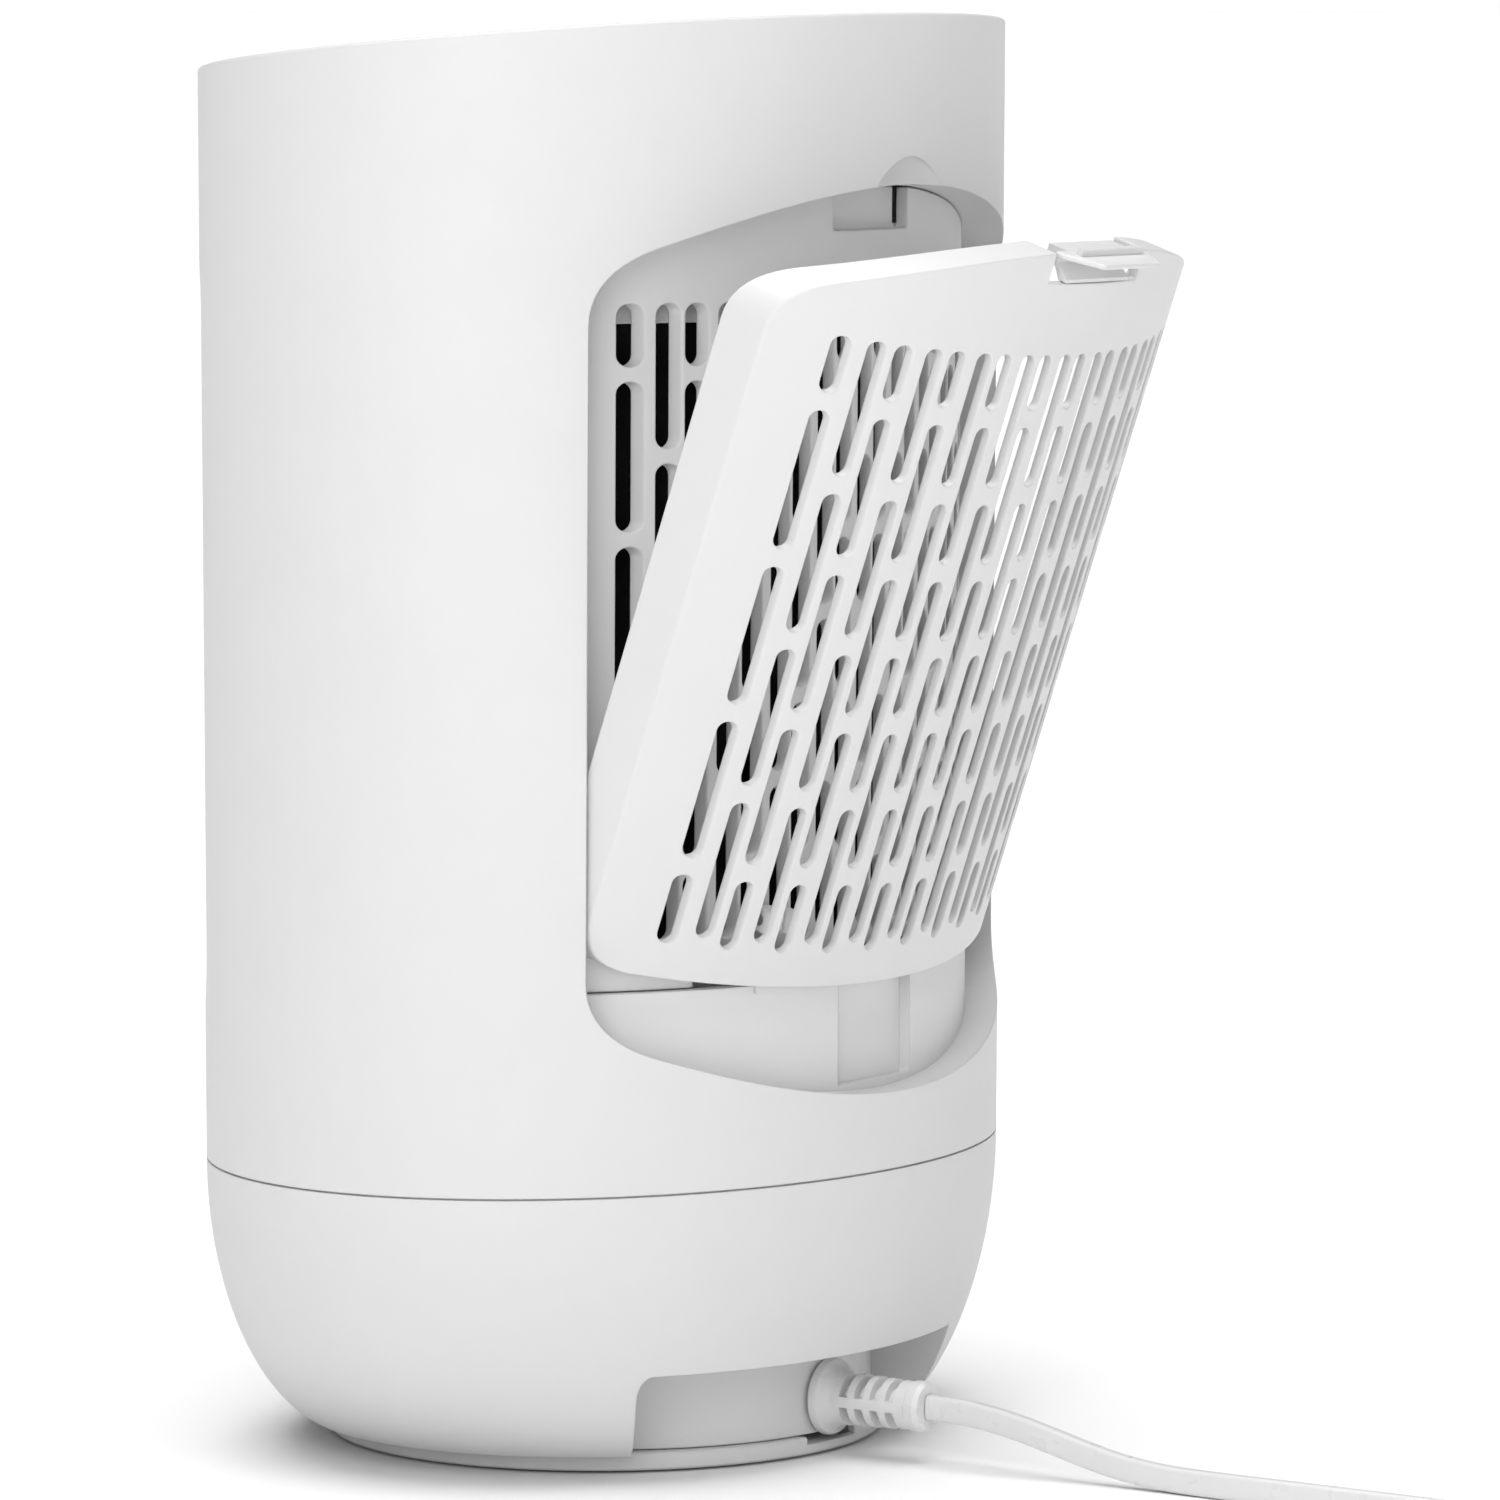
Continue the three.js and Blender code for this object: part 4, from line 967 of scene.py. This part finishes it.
# ---------------------------------------------------------------- housing
@dataclass
class Housing:
    """The tower's shell, the bowl under it and the foot."""

    wall: float = 0.003
    collar: float = 0.0025
    collar_depth: float = 0.014
    sill_top: float = 0.130
    sill_depth: float = 0.009
    sill_wall: float = 0.006
    pocket_half: float = 0.0171
    pocket_low: float = 0.101
    pocket_depth: float = 0.0032
    post_x: float = HINGE_POST
    post_half: float = 0.0023
    foot_half_width: float = 0.0767
    foot_half_depth: float = 0.0739
    foot_low: float = 0.0008
    foot_high: float = 0.0055
    recess_ceiling: float = 0.0298
    recess_radius: float = 0.0716

    def build(self) -> None:
        """Makes the housing's pieces."""
        self.tower_shell()
        self.bowl_shell()
        self.foot_plate()

    def tower_shell(self) -> Object:
        """The upper shell with both intake recesses.

        Returns:
            The shell.
        """
        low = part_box("upper_shell")[0].z
        piece = TOWER.solid(0, low, 0.41)
        piece.name = "tower_shell"

        def to_rim(p: Vector) -> Vector:
            """Lifts a corner of the top ring to the sloping rim.

            Args:
                p: the corner's place.

            Returns:
                Its place on the rim, or the same place for a corner further down.
            """
            if p.z < 0.4:
                return p
            z = TOWER.rim + TOWER.rim_slope * p.y
            a, b = TOWER.half_sizes(z)
            a1, b1 = TOWER.half_sizes(0.41)
            return Vector((p.x * a / a1, p.y * b / b1, z))

        Bench.shape(piece, to_rim)
        self.round_rim(piece)
        Bench.cut(piece, TOWER.solid(self.wall, 0.06, 0.42))
        for side in Side:
            turn = Matrix.Rotation(side.value, 4, "Z")
            collar = Bench.common(INTAKE.opening(self.collar), TOWER.band(0.001, self.collar_depth))
            collar.data.transform(turn)
            Bench.join(piece, collar)
            hole = INTAKE.opening(0)
            hole.data.transform(turn)
            Bench.cut(piece, hole)
            sill = self.sill()
            sill.data.transform(turn)
            Bench.join(piece, sill)
        Bench.join(piece, *[self.post(s) for s in (-1, 1)])
        Bench.cut(piece, self.scoop())
        return Bench.dress(piece, HOUSING, "housing", "housing", ("upper_shell",), 30)

    def round_rim(self, piece: Object) -> None:
        """Rounds the outer edge of the rim.

        Args:
            piece: the tower's solid.
        """
        Bench.edit(piece)
        bpy.ops.mesh.select_all(action="DESELECT")
        bpy.ops.object.mode_set(mode="OBJECT")
        for edge in piece.data.edges:
            edge.select = all(piece.data.vertices[i].co.z > 0.3 for i in edge.vertices)
        bpy.ops.object.mode_set(mode="EDIT")
        bpy.ops.mesh.select_mode(type="EDGE")
        bpy.ops.mesh.bevel(offset=0.0011, segments=3, affect="EDGES")
        Bench.close(piece)
        bpy.ops.object.mode_set(mode="EDIT")
        bpy.ops.mesh.select_mode(type="VERT")
        bpy.ops.object.mode_set(mode="OBJECT")

    def sill(self) -> Object:
        """The stepped-back wall below the cover, with its pocket.

        Returns:
            The wall.
        """
        piece = TOWER.band(self.sill_depth, self.sill_depth + self.sill_wall, 0.08, self.sill_top)
        Bench.common(piece, INTAKE.opening(0.001))
        half = self.pocket_half
        pocket = Bench.prism(
            "pocket", rounded_rect(-half, half, self.pocket_low, 0.16, 0.0008), Axis.Y, 0.02, 0.14
        )
        Bench.common(pocket, TOWER.band(0.001, self.sill_depth + self.pocket_depth))
        return Bench.cut(piece, pocket)

    def post(self, side: int) -> Object:
        """A hinge post on the sill.

        Args:
            side: -1 for the left one, 1 for the right one.

        Returns:
            The post.
        """
        x = side * self.post_x
        a, b = TOWER.half_sizes(HINGE_AT.z, 0.0115)
        back = b * math.sqrt(1 - ((self.post_x - self.post_half) / a) ** 2) + 0.0003
        outline = [
            (back, self.sill_top - 0.002), (back + 0.0013, self.sill_top - 0.002), (back + 0.0013, 0.134),
            (back + 0.0022, HINGE_AT.z - 0.007), (HINGE_AT.y + 0.0024, HINGE_AT.z - 0.0032),
        ]
        outline += arc((HINGE_AT.y, HINGE_AT.z), HINGE_EYE, -35, 100, 8)
        outline += [(back, HINGE_AT.z + 0.0028)]
        return Bench.prism("post", outline, Axis.X, x - self.post_half, x + self.post_half)

    def scoop(self) -> Object:
        """The finger scoop above the opening.

        Returns:
            The cutting solid.
        """
        bpy.ops.object.select_all(action="DESELECT")
        bpy.ops.mesh.primitive_uv_sphere_add(segments=64, ring_count=32, radius=1)
        piece = bpy.context.active_object
        Bench.shape(piece, lambda p: Vector((p.x * (1 - 0.34 * max(0.0, p.z)), p.y, p.z)))
        Bench.edit(piece)
        bpy.ops.transform.resize(value=(0.0155, 0.0026, 0.0078), center_override=(0, 0, 0))
        y = TOWER.half_sizes(INTAKE.high)[1]
        bpy.ops.transform.translate(value=(0, y, INTAKE.high - 0.0004))
        return Bench.close(piece)

    def spread(self, z: float) -> float:
        """How far out the bowl stands at a height, from 0 at the foot to 1 at the seam."""
        drop = min(1.0, max(0.0, (TOWER.seam - z) / (TOWER.seam - 0.0035)))
        return (1 - drop * drop) ** (1 / 1.69)

    def bowl(self, depth: float, low: float, high: float, steps: int = 30) -> Object:
        """The bowl's solid, set in by a depth.

        Args:
            depth: how far it is set in.
            low: its low end.
            high: its high end.
            steps: its rings.

        Returns:
            The solid.
        """
        rings = []
        for i in range(steps + 1):
            t = i / steps
            z = low + (high - low) * t ** 1.6
            s = self.spread(z)
            a = self.foot_half_width + (TOWER.half_width - self.foot_half_width) * s - depth
            b = self.foot_half_depth + (TOWER.half_depth - self.foot_half_depth) * s - depth
            rings.append((z, a, b))
        return Bench.oval("bowl", rings)

    def recess(self, grow: float, high: float) -> Object:
        """The cord's recess behind the foot.

        Args:
            grow: how far it is grown all round.
            high: its ceiling.

        Returns:
            The cutting solid.
        """
        radius, far = self.recess_radius - grow, 0.14
        start = math.degrees(math.radians(39.7) - grow / self.recess_radius)
        end = math.degrees(math.acos((-0.038 - grow) / radius))
        first = math.radians(start)
        outline = [(far * math.cos(first), far * math.sin(first))]
        outline += arc((0, 0), radius, start, end, 40)
        outline += [(-0.050 - grow, far)]
        piece = Bench.prism("recess", outline, Axis.Z, -0.01, high)
        return self.round_recess(piece, first, high)

    def round_recess(self, piece: Object, angle: float, high: float) -> Object:
        """Rounds the recess's upper edge at the end that shows.

        Args:
            piece: the cutting solid.
            angle: the direction of that end's wall.
            high: the ceiling.

        Returns:
            The same solid.
        """
        across = Vector((-math.sin(angle), math.cos(angle), 0))
        Bench.edit(piece)
        bpy.ops.mesh.select_mode(type="EDGE")
        bpy.ops.mesh.select_all(action="DESELECT")
        bpy.ops.object.mode_set(mode="OBJECT")
        for edge in piece.data.edges:
            ends = [piece.data.vertices[i].co for i in edge.vertices]
            edge.select = all(abs(p.z - high) < 1e-6 and abs(p.dot(across)) < 1e-5 for p in ends)
        bpy.ops.object.mode_set(mode="EDIT")
        bpy.ops.mesh.bevel(offset=0.0065, segments=8, affect="EDGES")
        bpy.ops.mesh.select_mode(type="VERT")
        return Bench.close(piece)

    def bowl_shell(self) -> Object:
        """The lower shell with the cord's recess.

        Returns:
            The shell.
        """
        low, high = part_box("lower_shell")
        piece = self.bowl(0, low.z, high.z)
        piece.name = "bowl_shell"
        inside = self.bowl(self.wall, low.z + 0.003, high.z + 0.001, 16)
        Bench.cut(inside, self.recess(0.0025, self.recess_ceiling + 0.0025))
        exit_hole = Bench.oval("exit", [(0.0596, 0.0069, 0.0069), (0.0766, 0.0069, 0.0069)], 48)
        exit_hole.data.transform(Matrix.Translation((0, 0, CORD_EXIT[2])) @ LAID_BACK)
        Bench.cut(piece, inside, self.recess(0, self.recess_ceiling), exit_hole)
        lip = Bench.cut(TOWER.solid(0.0011, high.z - 0.001, high.z + 0.0004), TOWER.solid(0.0026, 0.05, 0.1))
        Bench.join(piece, lip)
        return Bench.dress(piece, HOUSING, "housing", "housing", ("lower_shell",), 30)

    def foot_plate(self) -> Object:
        """The foot's plate, with the notch under the cord's outlet.

        Returns:
            The plate.
        """
        a, b = self.foot_half_width, self.foot_half_depth
        rings = [
            (self.foot_low, a - 0.0006, b - 0.0006), (self.foot_low + 0.0006, a, b),
            (self.foot_high - 0.0005, a, b), (self.foot_high, a - 0.0005, b - 0.0005),
        ]
        piece = Bench.oval("foot_plate", rings)
        Bench.cut(
            piece,
            Bench.block("notch", (-0.0113, 0.06, self.foot_high - 0.0021), (0.0113, 0.09, 0.01)),
            Bench.block("hole", (-0.013, 0.066, self.foot_high - 0.0045), (-0.0076, 0.071, 0.01)),
            Bench.oval("pad", [(-0.01, a - 0.0057, b - 0.0057), (0.0019, a - 0.0057, b - 0.0057)]),
        )
        posts = [
            Bench.block("post", (x - 0.0025, y - 0.0025, 0.004), (x + 0.0025, y + 0.0025, 0.0237))
            for x in (-0.034, 0.034) for y in (-0.022, 0.022)
        ]
        Bench.join(piece, *posts)
        return Bench.dress(piece, HOUSING, "housing", "housing", ("base_plate",), 30)


# ---------------------------------------------------------------- intake: plate and covers
@dataclass
class IntakePanels:
    """The inner plate, the two slotted covers and the latch."""

    skin: float = 0.0026
    rim: float = 0.0024
    rim_depth: float = 0.010
    low_rim_depth: float = 0.0045
    plate_depth: float = 0.0115
    plate_wall: float = 0.004
    plate_grow: float = 0.0006
    strip: float = 0.004
    latch_half: float = 0.016
    latch_cut: float = 0.0212
    latch_root: float = 0.3264
    tab_half: float = 0.020
    tip_half: float = 0.0133
    tab_reach: float = 0.0086
    lug_clear: float = 0.0027
    lug_width: float = 0.0028
    bore_radius: float = 0.0016

    def build(self) -> None:
        """Makes the panels and the latch."""
        self.inner_plate()
        self.front_cover()
        self.rear_cover()
        self.latch()

    def strips(self) -> list[float]:
        """Where a flat panel is sliced before it is bent."""
        count = int(0.096 / self.strip)
        return [self.strip * i + 0.0003 for i in range(-count, count + 1)]

    def bent(self, piece: Object) -> Object:
        """Slices a flat panel and lays it on the tower."""
        Bench.slice_across(piece, self.strips())
        return Bench.shape(piece, TOWER.wrapped)

    def inner_plate(self) -> Object:
        """The slotted plate in the recess, behind the open cover.

        Returns:
            The bent plate.
        """
        outline = INTAKE.outline(-0.0003, 0.1303, 0.0, 0.002)
        back = -self.plate_depth - self.plate_wall
        notch = rounded_rect(-0.0176, 0.0176, 0.325, 0.35, 0.0008)
        piece = Bench.prism("intake_plate", outline, Axis.Y, back, -self.plate_depth)
        Bench.cut(
            piece,
            INTAKE.slots(self.plate_grow, PANEL_BACK, PANEL_FRONT),
            Bench.block("cut_out", (-0.062, PANEL_BACK, 0.1), (0.062, PANEL_FRONT, 0.137)),
            Bench.prism("notch", notch, Axis.Y, -0.0148, PANEL_FRONT),
            Bench.block("slit", (-0.0174, PANEL_BACK, 0.3262), (-0.0150, PANEL_FRONT, 0.36)),
        )
        Bench.bevel(piece, 0.0005, 2)
        self.bent(piece)
        return Bench.dress(piece, HOUSING, "housing", "housing", ("rear_grille",))

    def cover(self, name: str, tongue: bool, set_in: float = 0.0) -> Object:
        """A slotted cover in its closed place.

        Args:
            name: the object's name.
            tongue: whether it leaves room for the latch and stands on hinges.
            set_in: how far its face stands behind the body's surface.

        Returns:
            The bent cover.
        """
        piece = Bench.prism(name, INTAKE.cover_outline(0), Axis.Y, -self.rim_depth, 0)
        hollow = Bench.prism("hollow", INTAKE.cover_outline(self.rim), Axis.Y, PANEL_BACK, -self.skin)
        low_rim = Bench.block(
            "low_rim", (-0.086, PANEL_BACK, 0.1), (0.086, -self.low_rim_depth, INTAKE.cover_low + 0.008)
        )
        Bench.cut(piece, hollow, low_rim, INTAKE.slots(0, PANEL_BACK, PANEL_FRONT))
        if tongue:
            half = self.latch_cut
            gap = Bench.block("gap", (-half, PANEL_BACK, self.latch_root), (half, PANEL_FRONT, 0.36))
            Bench.cut(piece, gap)
        Bench.bevel(piece, 0.0006, 2)
        Bench.shape(piece, lambda p: Vector((p.x, p.y - set_in, p.z)))
        return self.bent(piece)

    def front_cover(self) -> Object:
        """The closed cover on the front.

        Returns:
            The cover.
        """
        piece = self.cover("front_intake_cover", False, 0.0007)
        piece.data.transform(Matrix.Rotation(Side.FRONT.value, 4, "Z"))
        return Bench.dress(piece, COVER, "housing", "cover", ("front_cover",))

    def rear_cover(self) -> Object:
        """The cover that stands open, with its hinge lugs.

        Returns:
            The cover.
        """
        piece = self.cover("rear_intake_cover", True)
        for side in (-1, 1):
            for x in (HINGE_POST - self.lug_clear - self.lug_width, HINGE_POST + self.lug_clear):
                x0 = x if side > 0 else -x - self.lug_width
                Bench.join(piece, self.lug(x0, x0 + self.lug_width))
        piece.data.transform(swung_open())
        return Bench.dress(piece, COVER, "cover", "cover", ("rear_cover",))

    def lug(self, x0: float, x1: float) -> Object:
        """One hinge lug behind the cover's lower edge.

        Args:
            x0: its low side.
            x1: its high side.

        Returns:
            The lug with its bore.
        """
        middle = (x0 + x1) / 2
        a, b = TOWER.half_sizes(HINGE_AT.z, self.skin - 0.0008)
        reach = b * math.sqrt(1 - (middle / a) ** 2)
        outline = [(reach, HINGE_AT.z + HINGE_EYE)]
        outline += arc((HINGE_AT.y, HINGE_AT.z), HINGE_EYE, 90, 270, 12)
        outline += [(reach, HINGE_AT.z - HINGE_EYE)]
        piece = Bench.prism("lug", outline, Axis.X, x0, x1)
        bore = arc((HINGE_AT.y, HINGE_AT.z), self.bore_radius, 0, 345, 23)
        return Bench.cut(piece, Bench.prism("bore", bore, Axis.X, x0 - 0.001, x1 + 0.001))

    def latch(self) -> Object:
        """The latch's tongue with its cove, its raised lip and the finger tab.

        Returns:
            The latch.
        """
        face = TOWER.half_sizes(INTAKE.high)[1]
        root, top = self.latch_root, INTAKE.high - INTAKE.cover_gap - 0.0009
        side = [
            (face - 0.0028, root + 0.0003), (face - 0.0002, root + 0.0003), (face - 0.0003, root + 0.0012),
            (face - 0.0022, root + 0.0024), (face - 0.0036, root + 0.0036),
        ]
        side += arc((face - 0.0029, root + 0.0052), 0.0017, 215, 130, 5)
        side += [
            (face - 0.0032, top - 0.0022), (face - 0.001, top - 0.0016), (face + 0.002, top - 0.0014),
            (face + 0.002, top + 0.0015), (face + 0.0016, top + 0.0019), (face + 0.0006, top + 0.0019),
            (face + 0.0002, top), (face - 0.0084, top), (face - 0.0084, top - 0.0022),
            (face - 0.0066, top - 0.0034), (face - 0.0062, root + 0.005), (face - 0.004, root + 0.0022),
        ]
        piece = Bench.prism("latch_tongue", side, Axis.X, -self.latch_half + 0.001, self.latch_half - 0.001)
        tab = [
            (-self.tab_half, face - 0.003), (self.tab_half, face - 0.003), (self.tab_half, face - 0.0005),
            (self.tip_half, face + self.tab_reach), (-self.tip_half, face + self.tab_reach),
            (-self.tab_half, face - 0.0005),
        ]
        blade = Bench.bevel(Bench.prism("tab", tab, Axis.Z, top - 0.0014, top), 0.0005, 3)
        Bench.join(piece, blade)
        piece.data.transform(swung_open())
        return Bench.dress(piece, COVER, "latch", "cover", ("cover_latch",))


# ---------------------------------------------------------------- top: outlet and controls
@dataclass
class TopDeck:
    """The louvred outlet, the control panel and its buttons."""

    recess: float = 0.004
    thickness: float = 0.003
    side: float = 0.0036
    split_y: float = -0.030
    louvre_pitch: float = 0.009
    louvre_gap: float = 0.005
    margin: float = 0.014
    button_pitch: float = 0.021
    button_y: float = -0.058
    button_radius: float = 0.0065
    tool_low: float = 0.34
    tool_high: float = 0.39

    def build(self) -> None:
        """Makes the top's pieces."""
        self.grille()
        self.panel()
        for i, name in enumerate(KEYS):
            self.button(name, self.key_place(i))
        self.window()

    @property
    def top(self) -> float:
        """The deck's upper face on the body's axis."""
        return TOWER.rim - self.recess

    def key_place(self, index: int) -> float:
        """How far across the panel a key stands."""
        return (index - (len(KEYS) - 1) / 2) * self.button_pitch

    def plate(self, name: str, y0: float, y1: float) -> Object:
        """The oval deck between two lines across it, level.

        Args:
            name: the object's name.
            y0: its front line.
            y1: its rear line.

        Returns:
            The level plate.
        """
        low = self.top - self.thickness
        piece = TOWER.solid(self.side, low, self.top)
        piece.name = name
        return Bench.common(piece, Bench.block("stretch", (-0.2, y0, low - 0.01), (0.2, y1, self.top + 0.01)))

    def grille(self) -> Object:
        """The outlet with its louvres.

        Returns:
            The grille.
        """
        piece = self.plate("outlet_grille", self.split_y, 0.12)
        a, b = TOWER.half_width - self.margin, TOWER.half_depth - self.margin
        tools = []
        y = self.split_y + 0.010
        while y < b - 0.004:
            reach = a * math.sqrt(1 - (y / b) ** 2)
            half = self.louvre_gap / 2
            if reach > 0.02:
                outline = rounded_rect(-reach, reach, y - half, y + half, half * 0.95, 6)
                tools.append(Bench.prism("louvre", outline, Axis.Z, self.tool_low, self.tool_high))
            y += self.louvre_pitch
        Bench.cut(piece, Bench.gather("louvres", tools))
        Bench.bevel(piece, 0.0006, 2)
        rib_low = (-0.002, self.split_y + 0.004, self.top - 0.0028)
        rib = Bench.block("rib", rib_low, (0.002, b, self.top - 0.0008))
        Bench.join(piece, rib)
        Bench.shape(piece, TOWER.to_rim)
        return Bench.dress(piece, COVER, "housing", "cover", ("top_grille",))

    def panel(self) -> Object:
        """The glossy control panel with its button holes.

        Returns:
            The panel.
        """
        piece = self.plate("control_fascia", -0.12, self.split_y - 0.0005)
        tools = []
        for i in range(len(KEYS)):
            hole = arc((self.key_place(i), self.button_y), self.button_radius + 0.0003, 0, 352.5, 47)
            tools.append(Bench.prism("hole", hole, Axis.Z, self.tool_low, self.tool_high))
        window = rounded_rect(-0.0163, 0.0163, -0.0788, -0.0732, 0.0012)
        tools.append(Bench.prism("window", window, Axis.Z, self.tool_low, self.tool_high))
        Bench.cut(piece, Bench.gather("holes", tools))
        Bench.bevel(piece, 0.0004, 2)
        Bench.shape(piece, TOWER.to_rim)
        return Bench.dress(piece, GLOSS, "housing", "gloss", ("control_panel",))

    def button(self, name: str, x: float) -> Object:
        """One dished push button with a small dot.

        Args:
            name: the button's use.
            x: its place across the panel.

        Returns:
            The button.
        """
        low, top, r = self.top - 0.0046, self.top + 0.0008, self.button_radius
        under = self.top - self.thickness
        rings = [
            (low, r + 0.001, r + 0.001), (under - 0.0003, r + 0.001, r + 0.001), (under - 0.0002, r, r),
            (top - 0.0006, r, r), (top - 0.00015, r - 0.0002, r - 0.0002), (top, r - 0.0006, r - 0.0006),
            (top - 0.0003, r - 0.002, r - 0.002), (top - 0.0006, 0.0015, 0.0015),
        ]
        piece = Bench.oval(f"{name}_key", rings, 64)
        turn = Matrix.Translation((x, self.button_y, 0))
        piece.data.transform(turn)
        Bench.shape(piece, TOWER.to_rim)
        Bench.dress(piece, COVER, f"{name}_key", "cover", (f"{name}_button",))
        dot = Bench.oval(f"{name}_dot", [(top - 0.0008, 0.0009, 0.0009), (top - 0.00045, 0.0009, 0.0009)], 32)
        dot.data.transform(turn)
        Bench.shape(dot, TOWER.to_rim)
        Bench.dress(dot, MARK, f"{name}_key", "cover")
        return piece

    def window(self) -> Object:
        """The smoked display window.

        Returns:
            The window.
        """
        outline = rounded_rect(-0.016, 0.016, -0.0785, -0.0735, 0.001)
        piece = Bench.prism("display_window", outline, Axis.Z, self.top - self.thickness, self.top)
        Bench.bevel(piece, 0.0003, 2)
        Bench.shape(piece, TOWER.to_rim)
        return Bench.dress(piece, WINDOW, "housing", "lens", ("display_lens",))


# ---------------------------------------------------------------- what keeps its CAD shape
@dataclass
class CarriedOver:
    """CAD nodes that keep their shape and get a material."""

    def build(self) -> None:
        """Gives every shown CAD node the finish of its slot."""
        slots = {row["node"]: row["material_slot"] for row in frame["record"]["subparts"]}
        for name, node in frame["nodes"].items():
            if node.hide_render:
                continue
            node.data.materials.clear()
            node.data.materials.append(CAD_FINISHES[slots[name]].material())
            LOG.info("%s keeps its CAD shape", name)


def main() -> None:
    """Builds the studio and then the purifier, one sub-assembly after another."""
    logging.basicConfig(level=logging.INFO, format="%(name)s: %(message)s")
    Studio().build()
    MainsLead().build()
    for assembly in (Housing(), IntakePanels(), TopDeck(), CarriedOver()):
        assembly.build()
        LOG.info("%s is done", type(assembly).__name__)


if __name__ == "__main__":
    main()
